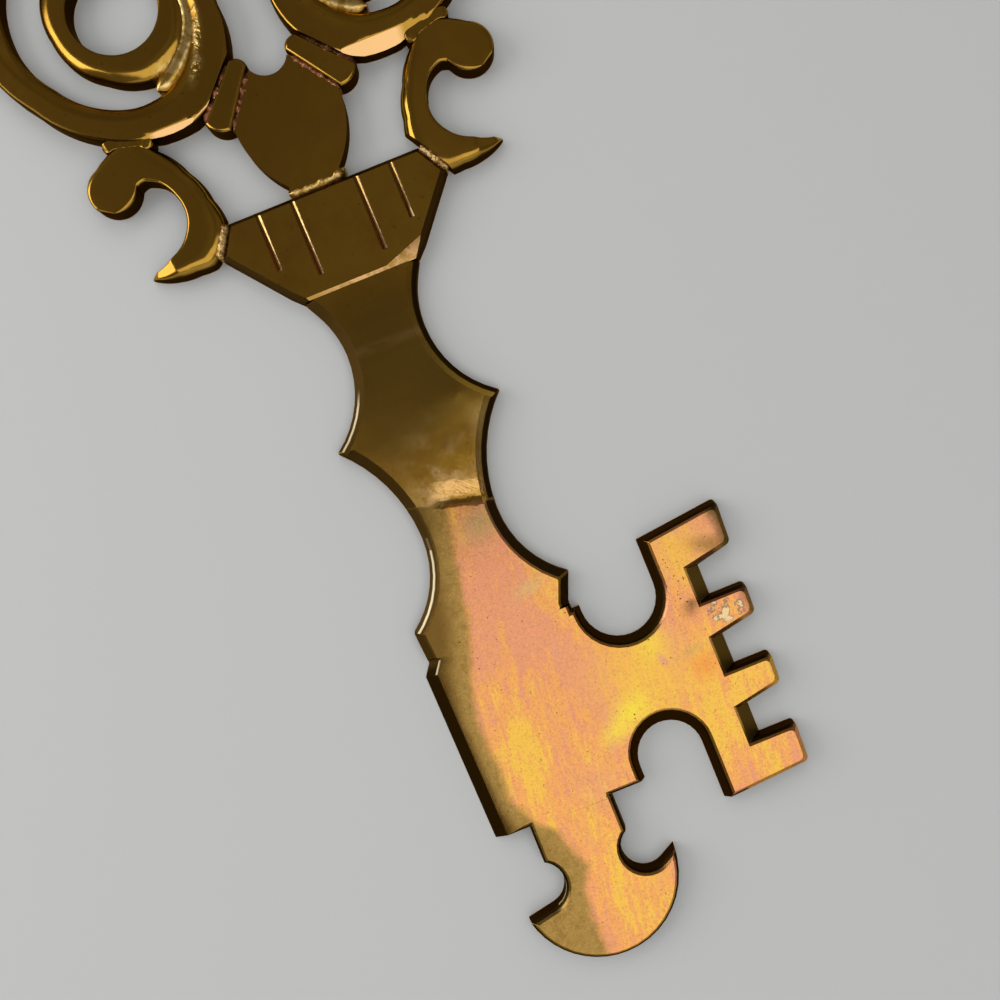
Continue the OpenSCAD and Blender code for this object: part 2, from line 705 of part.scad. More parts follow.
module volute(left) {
    color(dark_brass)
        hung()
            in_bow(left)
                difference() {
                    mirror([1, 0, 0])
                        bent_bar([-eye_mid.x, eye_mid.y], volute_stations());
                    left_of(seam_point(0, collar_end(0)), 180 - volute_seam_angle);
                    translate([keystone_w / 2 + braze_t - far, -far, eye_mid.y])
                        cube([far, 2 * far, far]);
                    left_of(seat, 180 + seat_angle);
                }
}

module left_volute() {
    volute(true);
}

module right_volute() {
    volute(false);
}

// C-scroll: a bar with a ball end and a leaf end, bent round its middle
function ball_chord(a) = let (off = c_ball_reach * sin(a - c_ball_angle))
    abs(off) < c_ball_r && cos(a - c_ball_angle) > 0 ? sqrt(c_ball_r * c_ball_r - off * off) : 0;

function c_stations() = let (ball_span = asin(c_ball_r / c_ball_reach))
    [for (a = concat(
            [for (i = [0:7]) c_ball_angle - (ball_span - c_ball_open) * cos(90 * i / 7)],
            [for (i = [1:5]) c_ball_angle + ball_span * i / 5],
            [for (a = [c_ball_angle + ball_span + c_ball_clear:c_step:c_end - c_step / 2]) a],
            [c_end]))
        let (near = cos(a - c_ball_angle) * c_ball_reach,
            chord = ball_chord(a),
            bar_o = c_r * lookup(a, c_outer),
            bar_i = c_r * lookup(a, c_inner),
            o = a < c_ball_angle ? near + chord : max(bar_o, near + chord),
            i = a < c_ball_angle ? near - chord : chord > 0 ? min(bar_i, near - chord) : bar_i)
        [a, o, i, bar_t(o - i, c_t)]];

module c_scroll(left) {
    shift = left ? -shank_set : shank_set;
    color(dark_brass)
        hung()
            in_bow(left)
                difference() {
                    bent_bar(c_mid, c_stations());
                    left_of(seat + braze_t * right_of(seat_angle), seat_angle);
                    left_of([fan_x + shift, fan_corner_h] + braze_t * right_of(fan_end_angle), fan_end_angle);
                }
}

module left_c_scroll() {
    c_scroll(true);
}

module right_c_scroll() {
    c_scroll(false);
}

// Crest: a keystone between the volutes under a disc with the hanging eye
module crest() {
    r = crest_r;
    c = edge_chamfer;
    side = keystone_w / 2;
    color(dark_brass)
        hung()
            difference() {
                union() {
                    translate([0, 0, eye_h])
                        rotate([90, 0, 0])
                            rotate_extrude()
                                polygon([[0, 0], [r, 0], [r, crest_t - c], [r - c, crest_t], [0, crest_t]]);
                    translate([0, 0, keystone_h])
                        linear_extrude(eye_h - keystone_h)
                            polygon([[-side, 0], [-side, c - crest_t], [c - side, -crest_t],
                                [side - c, -crest_t], [side, c - crest_t], [side, 0]]);
                }
                translate([0, 1, eye_h])
                    rotate([90, 0, 0])
                        cylinder(h = crest_t + 2, r = eye_r);
            }
}

// Braze layers, one in every seam that shows
module vase_foot_braze() {
    color(braze_colour)
        hung()
            difference() {
                translate([-foot_x, braze_sink - plate_t, fan_h])
                    cube([2 * foot_x, plate_t - braze_sink, braze_t]);
                socket(fan_h);
            }
}

module inner_collar_brazes() {
    color(braze_colour)
        hung()
            for (left = [true, false])
                in_bow(left)
                    braze_slab(seam_point(collar_l - braze_sink, 0), -seam_angle, collar_l - 2 * braze_sink,
                        vase_t - braze_sink, braze_t);
}

module outer_collar_brazes() {
    l = (collar_l - collar_inset - braze_sink) / cos(seam_angle - volute_seam_angle);
    color(braze_colour)
        hung()
            for (left = [true, false])
                in_bow(left)
                    braze_slab(seam_point(collar_inset, collar_end(collar_inset)), 180 - volute_seam_angle, l,
                        collar_t / 2, braze_t);
}

module c_scroll_foot_brazes() {
    color(braze_colour)
        hung()
            on_shank()
                for (left = [true, false])
                    in_bow(left)
                        braze_slab([fan_top_x, fan_h], fan_end_angle + 180, fan_end_l, plate_t - braze_sink,
                            braze_t);
}

module c_scroll_top_brazes() {
    color(braze_colour)
        hung()
            for (left = [true, false])
                in_bow(left)
                    braze_slab(seat + seat_l / 2 * along(seat_angle), 180 + seat_angle, seat_l, c_t / 2,
                        braze_t);
}

module coil_brazes() {
    color(braze_colour)
        hung()
            for (left = [true, false])
                in_bow(left)
                    mirror([1, 0, 0])
                        bent_bar([-eye_mid.x, eye_mid.y],
                            [for (a = [spiral_start:spiral_step:spiral_end])
                                if (a >= coil_braze_start && a <= coil_braze_end)
                                    [a, inner_edge(a), inner_edge(a) - coil_gap,
                                        volute_t * coil_braze_share]], 1);
}

module crest_brazes() {
    low = beside_crest(inner_edge(end_inner_angle)) + braze_sink;
    high = beside_crest(outer_edge(end_outer_angle)) - braze_sink;
    color(braze_colour)
        hung()
            for (left = [true, false])
                in_bow(left)
                    translate([keystone_w / 2, -crest_t / 2, low])
                        cube([braze_t, crest_t / 2, high - low]);
}

tip();
blade();
shank();
fan_plate();
vase();
left_collar();
right_collar();
left_volute();
right_volute();
left_c_scroll();
right_c_scroll();
crest();
vase_foot_braze();
inner_collar_brazes();
outer_collar_brazes();
c_scroll_foot_brazes();
c_scroll_top_brazes();
coil_brazes();
crest_brazes();
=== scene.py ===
"""A decorative wall key in cast brass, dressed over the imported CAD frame."""
from __future__ import annotations

import logging
import math
from dataclasses import dataclass, field
from enum import Enum
from typing import Callable, Iterable, Sequence

import bmesh
import bpy
from mathutils import Matrix, Vector, noise


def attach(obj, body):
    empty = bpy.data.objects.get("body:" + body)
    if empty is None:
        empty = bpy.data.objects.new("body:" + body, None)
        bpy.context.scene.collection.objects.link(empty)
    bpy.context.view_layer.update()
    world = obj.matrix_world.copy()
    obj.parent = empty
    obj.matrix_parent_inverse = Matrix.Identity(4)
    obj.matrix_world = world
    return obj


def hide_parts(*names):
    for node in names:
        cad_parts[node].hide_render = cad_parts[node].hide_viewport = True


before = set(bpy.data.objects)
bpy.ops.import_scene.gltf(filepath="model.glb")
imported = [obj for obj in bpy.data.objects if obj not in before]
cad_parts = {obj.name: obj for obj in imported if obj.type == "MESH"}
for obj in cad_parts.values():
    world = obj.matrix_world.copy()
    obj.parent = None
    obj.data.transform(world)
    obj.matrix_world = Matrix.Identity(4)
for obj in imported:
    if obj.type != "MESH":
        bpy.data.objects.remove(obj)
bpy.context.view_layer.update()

LOG = logging.getLogger("wall key")

# One millimetre in metres. The other lengths up here are in millimetres.
MM = 0.001
NEAR = 0.01
MERGED_WITHIN = 0.002
FLAT_WITHIN_DEGREES = 0.6
BODY = "root"
CREASE_Z = -139.008
BLADE_Z = -239.008
NECK_Z = -290.608

Colour = tuple[float, float, float]
Pair = tuple[float, float]
Table = tuple[Pair, ...]


class Side(Enum):
    """The side of the key that a mirrored piece of the bow is on."""

    LEFT = -1
    RIGHT = 1

    @property
    def word(self) -> str:
        """The word that starts the names of this side's pieces."""
        return self.name.lower()


class Slot(Enum):
    """The record's material slots."""

    BRIGHT = "bright_brass"
    DARK = "dark_brass"
    BRAZE = "braze"


def along(angle: float) -> Vector:
    """A unit vector in the plane of the wall, at an angle in degrees from +X."""
    turn = math.radians(angle)
    return Vector((math.cos(turn), math.sin(turn)))


def right_of(angle: float) -> Vector:
    """The unit vector square to along(angle), on its right."""
    turn = math.radians(angle)
    return Vector((math.sin(turn), -math.cos(turn)))


def on_front(point: Vector, depth: float) -> Vector:
    """A point of the wall's plane, moved a depth towards the viewer."""
    return Vector((point[0], -depth, point[1]))


def looked_up(table: Table, at: float) -> float:
    """The value of a table of pairs at a place, on straight lines between its rows.

    Args:
        table: Rows of a place and a value, in order of place.
        at: The place to read.

    Returns:
        The value there, which stays level past either end.
    """
    if at <= table[0][0]:
        return table[0][1]
    for (low, start), (high, end) in zip(table, table[1:]):
        if at <= high:
            return start + (end - start) * (at - low) / (high - low)
    return table[-1][1]


# Node materials


class Graph:
    """A node material that is being built."""

    # A mix has several sockets of one name, so its colours go by number.
    MIX_FIRST = 6
    MIX_SECOND = 7
    MIX_RESULT = 2

    def __init__(self, name: str) -> None:
        """Starts a material of that name with an empty node tree.

        Args:
            name: Name of the material.
        """
        self.material = bpy.data.materials.new(name)
        self.material.use_nodes = True
        self.tree = self.material.node_tree
        self.tree.nodes.clear()
        self.coordinates = self.node("ShaderNodeTexCoord").outputs["Object"]

    def node(self, kind: str, **settings: object) -> bpy.types.Node:
        """Adds a node and sets its properties.

        Args:
            kind: The node's type.
            **settings: Its properties.

        Returns:
            The node.
        """
        made = self.tree.nodes.new(kind)
        for name, value in settings.items():
            setattr(made, name, value)
        return made

    def feed(self, socket: bpy.types.NodeSocket, value: object) -> None:
        """Links a socket to another one, or sets its own value.

        Args:
            socket: The input to feed.
            value: A socket, a number or a colour.
        """
        if isinstance(value, bpy.types.NodeSocket):
            self.tree.links.new(value, socket)
        elif isinstance(value, tuple) and len(value) == 3 and socket.type == "RGBA":
            socket.default_value = (*value, 1.0)
        else:
            socket.default_value = value

    def math(self, operation: str, *values: object) -> bpy.types.NodeSocket:
        """The result of a Math node.

        Args:
            operation: What the node does.
            *values: Sockets or numbers, in the node's order.

        Returns:
            The result.
        """
        made = self.node("ShaderNodeMath", operation=operation)
        for socket, value in zip(made.inputs, values):
            self.feed(socket, value)
        return made.outputs[0]

    def chained(self, operation: str, values: Sequence[object]) -> object:
        """The result of one operation, done from the first value to the last.

        Args:
            operation: What each Math node does.
            values: Sockets or numbers.

        Returns:
            The result.
        """
        result = values[0]
        for value in values[1:]:
            result = self.math(operation, result, value)
        return result

    def all_of(self, *shares: object) -> object:
        """The product of several shares."""
        return self.chained("MULTIPLY", shares)

    def most_of(self, *shares: object) -> object:
        """The largest of several shares."""
        return self.chained("MAXIMUM", shares)

    def sum_of(self, *values: object) -> object:
        """The sum of several values."""
        return self.chained("ADD", values)

    def rest_of(self, share: object) -> bpy.types.NodeSocket:
        """What a share leaves of 1."""
        return self.math("SUBTRACT", 1.0, share)

    def off(self, value: object, middle: float) -> bpy.types.NodeSocket:
        """How far a value lies from a middle, on either side."""
        return self.math("ABSOLUTE", self.math("SUBTRACT", value, middle))

    def placed(
        self,
        scale: Sequence[float] = (1, 1, 1),
        turn: float = 0.0,
        centre: Sequence[float] = (0, 0, 0),
    ) -> bpy.types.NodeSocket:
        """Object coordinates in millimetres, centred, turned in the wall's plane and scaled.

        Args:
            scale: Factors along the three axes, after the turn.
            turn: Degrees round the Y axis.
            centre: The point in millimetres that becomes the middle.

        Returns:
            The vector socket.
        """
        moved = self.node("ShaderNodeMapping", vector_type="TEXTURE")
        self.feed(moved.inputs["Vector"], self.coordinates)
        moved.inputs["Location"].default_value = [c * MM for c in centre]
        moved.inputs["Rotation"].default_value = (0, math.radians(turn), 0)
        moved.inputs["Scale"].default_value = [MM / s for s in scale]
        return moved.outputs[0]

    def axis(self, vector: bpy.types.NodeSocket, name: str) -> bpy.types.NodeSocket:
        """One coordinate, X, Y or Z, of a vector.

        Args:
            vector: The vector.
            name: Its coordinate.

        Returns:
            The coordinate.
        """
        split = self.node("ShaderNodeSeparateXYZ")
        self.feed(split.inputs[0], vector)
        return split.outputs[name]

    def normal(self, name: str) -> bpy.types.NodeSocket:
        """One coordinate of the surface's own normal."""
        return self.axis(self.node("ShaderNodeNewGeometry").outputs["True Normal"], name)

    def facing(self) -> bpy.types.NodeSocket:
        """How far a surface faces the front: 1 for the flats, 0 for the walls."""
        return self.math("MULTIPLY", self.normal("Y"), -1.0)

    def noise(
        self,
        scale: float,
        detail: float = 3.0,
        rough: float = 0.5,
        vector: bpy.types.NodeSocket | None = None,
        distortion: float = 0.0,
    ) -> bpy.types.NodeSocket:
        """Noise from 0 to 1.

        Args:
            scale: Cycles a millimetre.
            detail: How many finer layers it has.
            rough: How strong the finer layers are.
            vector: The coordinates, where they aren't the plain ones.
            distortion: How far the pattern is pulled about.

        Returns:
            The noise.
        """
        made = self.node("ShaderNodeTexNoise")
        self.feed(made.inputs["Vector"], vector or self.placed())
        made.inputs["Scale"].default_value = scale
        made.inputs["Detail"].default_value = detail
        made.inputs["Roughness"].default_value = rough
        made.inputs["Distortion"].default_value = distortion
        return made.outputs[0]

    def step(self, value: object, low: float, high: float) -> bpy.types.NodeSocket:
        """A soft step from 0 at low to 1 at high, which falls where low is above high.

        Args:
            value: What the step follows.
            low: The value at which the result is 0.
            high: The value at which the result is 1.

        Returns:
            The result.
        """
        made = self.node("ShaderNodeMapRange", interpolation_type="SMOOTHSTEP")
        self.feed(made.inputs["Value"], value)
        made.inputs["From Min"].default_value = min(low, high)
        made.inputs["From Max"].default_value = max(low, high)
        made.inputs["To Min"].default_value = 0.0 if low < high else 1.0
        made.inputs["To Max"].default_value = 1.0 if low < high else 0.0
        return made.outputs[0]

    def mix(self, share: object, first: object, second: object) -> bpy.types.NodeSocket:
        """A mix of two colours.

        Args:
            share: How much of the second there is.
            first: A colour.
            second: Another colour.

        Returns:
            The mixed colour.
        """
        made = self.node("ShaderNodeMix", data_type="RGBA")
        self.feed(made.inputs["Factor"], share)
        self.feed(made.inputs[self.MIX_FIRST], first)
        self.feed(made.inputs[self.MIX_SECOND], second)
        return made.outputs[self.MIX_RESULT]

    def ramp(self, share: object, stops: Sequence[tuple[float, Colour]]) -> bpy.types.NodeSocket:
        """A colour ramp through several tones.

        Args:
            share: The place on the ramp.
            stops: Places and their tones, in order.

        Returns:
            The colour.
        """
        made = self.node("ShaderNodeValToRGB")
        self.feed(made.inputs[0], share)
        elements = made.color_ramp.elements
        while len(elements) < len(stops):
            elements.new(0.5)
        for element, (place, colour) in zip(elements, stops):
            element.position = place
            element.color = (*colour, 1.0)
        return made.outputs[0]

    def profile(self, at: object, places: Table) -> bpy.types.NodeSocket:
        """A value that runs on straight lines between the rows of a table.

        Args:
            at: The place to read.
            places: Rows of a place and a value, in order of place.

        Returns:
            The value there.
        """
        first, last = places[0][0], places[-1][0]
        base = min(v for _, v in places)
        span = max(v for _, v in places) - base
        share = self.math("DIVIDE", self.math("SUBTRACT", at, first), last - first)
        stops = [((p - first) / (last - first), ((v - base) / span,) * 3) for p, v in places]
        return self.sum_of(self.all_of(self.ramp(share, stops), span), base)

    def spot(
        self,
        x: float,
        z: float,
        radius: float,
        soft: float,
        across: float = 1.0,
        turn: float = 0.0,
    ) -> bpy.types.NodeSocket:
        """A soft round or oval spot on the front, with its sizes in millimetres.

        Args:
            x: X of its middle.
            z: Z of its middle.
            radius: Its radius halfway through the soft edge.
            soft: How far the edge fades to either side.
            across: How much wider than high it is.
            turn: Its turn in degrees.

        Returns:
            1 inside the spot and 0 outside.
        """
        vector = self.placed((1 / across, 0.001, 1), turn, (x, 0, z))
        length = self.node("ShaderNodeVectorMath", operation="LENGTH")
        self.feed(length.inputs[0], vector)
        return self.step(length.outputs["Value"], radius + soft, radius - soft)

    def bump(self, height: object, distance: float, normal: object = None) -> bpy.types.NodeSocket:
        """A bumped normal.

        Args:
            height: The relief, from 0 to 1.
            distance: What a height of 1 stands for, in millimetres.
            normal: The normal that is bumped, where it isn't the plain one.

        Returns:
            The normal.
        """
        made = self.node("ShaderNodeBump")
        made.inputs["Strength"].default_value = 1.0
        made.inputs["Distance"].default_value = distance * MM
        self.feed(made.inputs["Height"], height)
        if normal is not None:
            self.feed(made.inputs["Normal"], normal)
        return made.outputs[0]

    def metal(self, colour: object, rough: object, normal: object) -> bpy.types.Material:
        """Closes the material with a metal surface.

        Args:
            colour: Its colour.
            rough: Its roughness.
            normal: Its normal.

        Returns:
            The material.
        """
        shader = self.node("ShaderNodeBsdfPrincipled")
        self.feed(shader.inputs["Base Color"], colour)
        self.feed(shader.inputs["Roughness"], rough)
        self.feed(shader.inputs["Metallic"], 1.0)
        self.feed(shader.inputs["Specular Tint"], EDGE_TINT)
        self.feed(shader.inputs["Normal"], normal)
        return self.closed(shader.outputs[0])

    def paint(self, colour: Colour, rough: float, shine: float = 0.5) -> bpy.types.NodeSocket:
        """A plain painted surface.

        Args:
            colour: Its colour.
            rough: Its roughness.
            shine: Its specular level.

        Returns:
            The surface.
        """
        shader = self.node("ShaderNodeBsdfPrincipled")
        self.feed(shader.inputs["Base Color"], colour)
        self.feed(shader.inputs["Roughness"], rough)
        self.feed(shader.inputs["Specular IOR Level"], shine)
        return shader.outputs[0]

    def closed(self, surface: bpy.types.NodeSocket) -> bpy.types.Material:
        """Closes the material with a surface and returns it."""
        self.feed(self.node("ShaderNodeOutputMaterial").inputs["Surface"], surface)
        return self.material


# Tones and finishes

FACE: Colour = (0.53, 0.305, 0.045)
CLOUD: Colour = (0.46, 0.245, 0.04)
SHADE: Colour = (0.22, 0.125, 0.022)
UMBER: Colour = (0.034, 0.019, 0.005)
BURNT: Colour = (0.10, 0.06, 0.014)
FILED: Colour = (0.95, 0.57, 0.24)
SCRAPED_AND_LIT: Colour = (1.0, 0.76, 0.34)
SCORED_HIGHLIGHT: Colour = (0.97, 0.66, 0.32)
SCORED_SHADE: Colour = (0.16, 0.06, 0.02)
ORANGE: Colour = (0.90, 0.39, 0.125)
COPPER: Colour = (0.86, 0.33, 0.12)
RUST: Colour = (0.88, 0.28, 0.07)
SIENNA: Colour = (0.62, 0.27, 0.10)
PINK: Colour = (0.83, 0.33, 0.18)
ROSE: Colour = (0.78, 0.34, 0.23)
YELLOW: Colour = (0.92, 0.54, 0.085)
GOLD: Colour = (0.95, 0.80, 0.06)
BEIGE: Colour = (0.72, 0.47, 0.20)
SAGE: Colour = (0.50, 0.36, 0.15)
OLIVE: Colour = (0.38, 0.23, 0.06)
EDGE_TINT: Colour = (0.60, 0.45, 0.25)


@dataclass(frozen=True)
class Patch:
    """A soft oval of another tone on the front, in millimetres and degrees."""

    x: float
    z: float
    radius: float
    soft: float
    tone: Colour
    share: float = 1.0
    across: float = 1.0
    turn: float = 0.0

    def mask(self, g: Graph) -> object:
        """Where the patch is, and how much of it."""
        form = (self.radius, self.soft, self.across, self.turn)
        return g.all_of(g.spot(self.x, self.z, *form), self.share)

    def over(self, g: Graph, colour: object) -> bpy.types.NodeSocket:
        """Mixes the patch over a colour and returns the result."""
        return g.mix(self.mask(g), colour, self.tone)


@dataclass(frozen=True)
class CastBack:
    """The back of the key, left dull as it was cast."""

    pale: Colour = (0.56, 0.36, 0.12)
    dark: Colour = (0.28, 0.165, 0.05)
    rough: float = 0.28
    facing: Pair = (-0.60, -0.85)

    def share(self, g: Graph) -> bpy.types.NodeSocket:
        """1 on faces that lie on the wall."""
        return g.step(g.facing(), *self.facing)

    def over(self, g: Graph, colour: object) -> bpy.types.NodeSocket:
        """Mixes the cast tone over a colour on the back."""
        skin = g.mix(g.step(g.noise(0.25, 5, 0.7), 0.36, 0.64), self.dark, self.pale)
        return g.mix(self.share(g), colour, skin)

    def roughened(self, g: Graph, rough: object) -> bpy.types.NodeSocket:
        """Adds the roughness of the cast skin on the back."""
        return g.sum_of(rough, g.all_of(self.share(g), self.rough))


@dataclass(frozen=True)
class Patina:
    """Brass polished on its front, with brown patina left in its hollows, and walls darkened partly by
    brown patina and partly by painted shade.

    A Pair holds the two values between which its share goes from 0 to 1.
    """

    name: str = "patinated_brass"
    rough: float = 0.16
    # Where the walls turn dark: partly brown patina, partly painted shade.
    wall: Pair = (0.62, 0.34)
    filed_lean: Pair = (-0.40, -0.47)
    filed_facing: Pair = (0.80, 0.84)
    filed_below: Pair = (-74.0, -76.5)
    filed_above: Pair = (-86.0, -85.5)
    filed_reach: Pair = (37.0, 34.0)
    left_eye: Pair = (-32.82, -48.57)
    brown_from: float = 32.6
    brown_below: Pair = (-46.0, -50.0)
    brown_above: Pair = (-83.5, -82.5)
    brown_beyond: Pair = (-34.0, -37.0)
    brown_facing: Pair = (0.985, 0.95)
    # Scraped patches, which are also painted highlights.
    lit_scrapes: tuple[Patch, ...] = (
        Patch(-14.6, -63.0, 0.9, 1.3, SCRAPED_AND_LIT, 1.0, 5.0, -72),
        Patch(-18.0, -71.5, 1.0, 1.4, SCRAPED_AND_LIT, 1.0, 3.0, -58),
        Patch(-25.5, -69.3, 1.8, 2.2, SCRAPED_AND_LIT, 1.0, 1.5, -35),
    )

    def scraped_and_lit(self, g: Graph) -> bpy.types.NodeSocket:
        """Where the left volute was scraped beside its braze, and painted bright as a highlight there.
        """
        worn = g.step(g.noise(0.42, 3, 0.6), 0.34, 0.56)
        return g.all_of(g.most_of(*(patch.mask(g) for patch in self.lit_scrapes)), worn)

    def shoulder_shade(self, g: Graph, x: object, z: object) -> bpy.types.NodeSocket:
        """Painted shade on the outer shoulder of the left volute's first turn, low on its left.

        Args:
            g: The material.
            x: X of the place, as a socket.
            z: Z of the place, as a socket.

        Returns:
            The share of painted shade.
        """
        outside = g.rest_of(g.spot(*self.left_eye, self.brown_from, 0.4))
        low = g.all_of(g.step(z, *self.brown_below), g.step(z, *self.brown_above))
        left = g.step(x, *self.brown_beyond)
        return g.all_of(outside, low, left, g.step(g.facing(), *self.brown_facing), 0.8)

    def filed(self, g: Graph, x: object, z: object) -> bpy.types.NodeSocket:
        """The flats at the feet of the volutes, which were filed last.

        Args:
            g: The material.
            x: X of the place, as a socket.
            z: Z of the place, as a socket.

        Returns:
            The share of filed metal.
        """
        lean = g.all_of(g.step(g.normal("Z"), *self.filed_lean), g.step(g.facing(), *self.filed_facing))
        low = g.all_of(g.step(z, *self.filed_below), g.step(z, *self.filed_above))
        streaks = g.noise(0.8, 4, 0.7, g.placed((0.3, 1.0, 3.0), 20))
        near = g.step(g.off(x, 0.0), *self.filed_reach)
        return g.all_of(lean, low, near, g.step(streaks, 0.18, 0.40))

    def face(self, g: Graph) -> bpy.types.NodeSocket:
        """The tone of the polished front, with slow clouds and a few pits."""
        pits = g.step(g.noise(0.9, 2, 0.5), 0.30, 0.25)
        return g.mix(g.all_of(pits, 0.5), g.mix(self.clouds(g), FACE, CLOUD), UMBER)

    def clouds(self, g: Graph) -> bpy.types.NodeSocket:
        """Slow clouds in the tone of the front."""
        return g.step(g.noise(0.09, 4, 0.6), 0.35, 0.7)

    def relief(self, g: Graph, scraped_and_lit: object) -> bpy.types.NodeSocket:
        """The normal, with the polish's slow waves, the torn scrape marks and fine scratches.

        Args:
            g: The material.
            scraped_and_lit: Where the metal is scraped, which is also painted as a highlight.

        Returns:
            The normal.
        """
        waves = g.bump(g.noise(0.11, 2, 0.4), 0.14)
        torn = g.bump(g.all_of(g.noise(0.6, 3, 0.55), scraped_and_lit), 0.35, waves)
        scratches = g.noise(1.0, 2, 0.6, g.placed((5.0, 1.0, 0.35), 35))
        return g.bump(g.sum_of(g.all_of(g.noise(1.6, 3, 0.6), 0.5), scratches), 0.006, torn)

    def material(self) -> bpy.types.Material:
        """Builds the node material.

        Returns:
            The material.
        """
        g = Graph(self.name)
        place = g.placed()
        x, z = g.axis(place, "X"), g.axis(place, "Z")
        walls = g.step(g.facing(), *self.wall)
        scraped_and_lit = self.scraped_and_lit(g)
        # The walls go dark: partly brown patina, partly painted shade.
        colour = g.mix(walls, self.face(g), UMBER)
        colour = g.mix(self.filed(g, x, z), colour, FILED)
        # Painted shade on the lower left shoulder of the left volute.
        colour = g.mix(self.shoulder_shade(g, x, z), colour, UMBER)
        # Scraped metal, painted bright as a highlight.
        colour = g.mix(scraped_and_lit, colour, SCRAPED_AND_LIT)
        rough = g.sum_of(g.all_of(walls, 0.3), g.all_of(self.clouds(g), 0.08), g.all_of(scraped_and_lit, 0.22))
        rough = g.sum_of(rough, self.rough)
        back = CastBack()
        return g.metal(back.over(g, colour), back.roughened(g, rough), self.relief(g, scraped_and_lit))


@dataclass
class Ground:
    """The places on the stem that its finish follows, as sockets in millimetres."""

    g: Graph
    x: bpy.types.NodeSocket
    z: bpy.types.NodeSocket
    deep: bpy.types.NodeSocket
    band: bpy.types.NodeSocket
    reach: bpy.types.NodeSocket

    @classmethod
    def under(cls, g: Graph, band_x: float, band_z: float, band_turn: float) -> Ground:
        """Finds the places in a material.

        Args:
            g: The material.
            band_x: X of a point on the film's upper edge.
            band_z: Z of that point.
            band_turn: Turn of that edge in degrees.

        Returns:
            The places, with band as the height over the edge and reach as the way along it.
        """
        place, line = g.placed(), g.placed((1, 1, 1), band_turn, (band_x, 0, band_z))
        x, z, deep = (g.axis(place, name) for name in "XZY")
        ragged = g.all_of(g.math("SUBTRACT", g.noise(0.35, 3, 0.6), 0.5), 1.6)
        return cls(g, x, z, deep, g.sum_of(g.axis(line, "Z"), ragged), g.axis(line, "X"))

    @property
    def above(self) -> bpy.types.NodeSocket:
        """1 above the film."""
        return self.g.step(self.band, 0.2, 1.2)


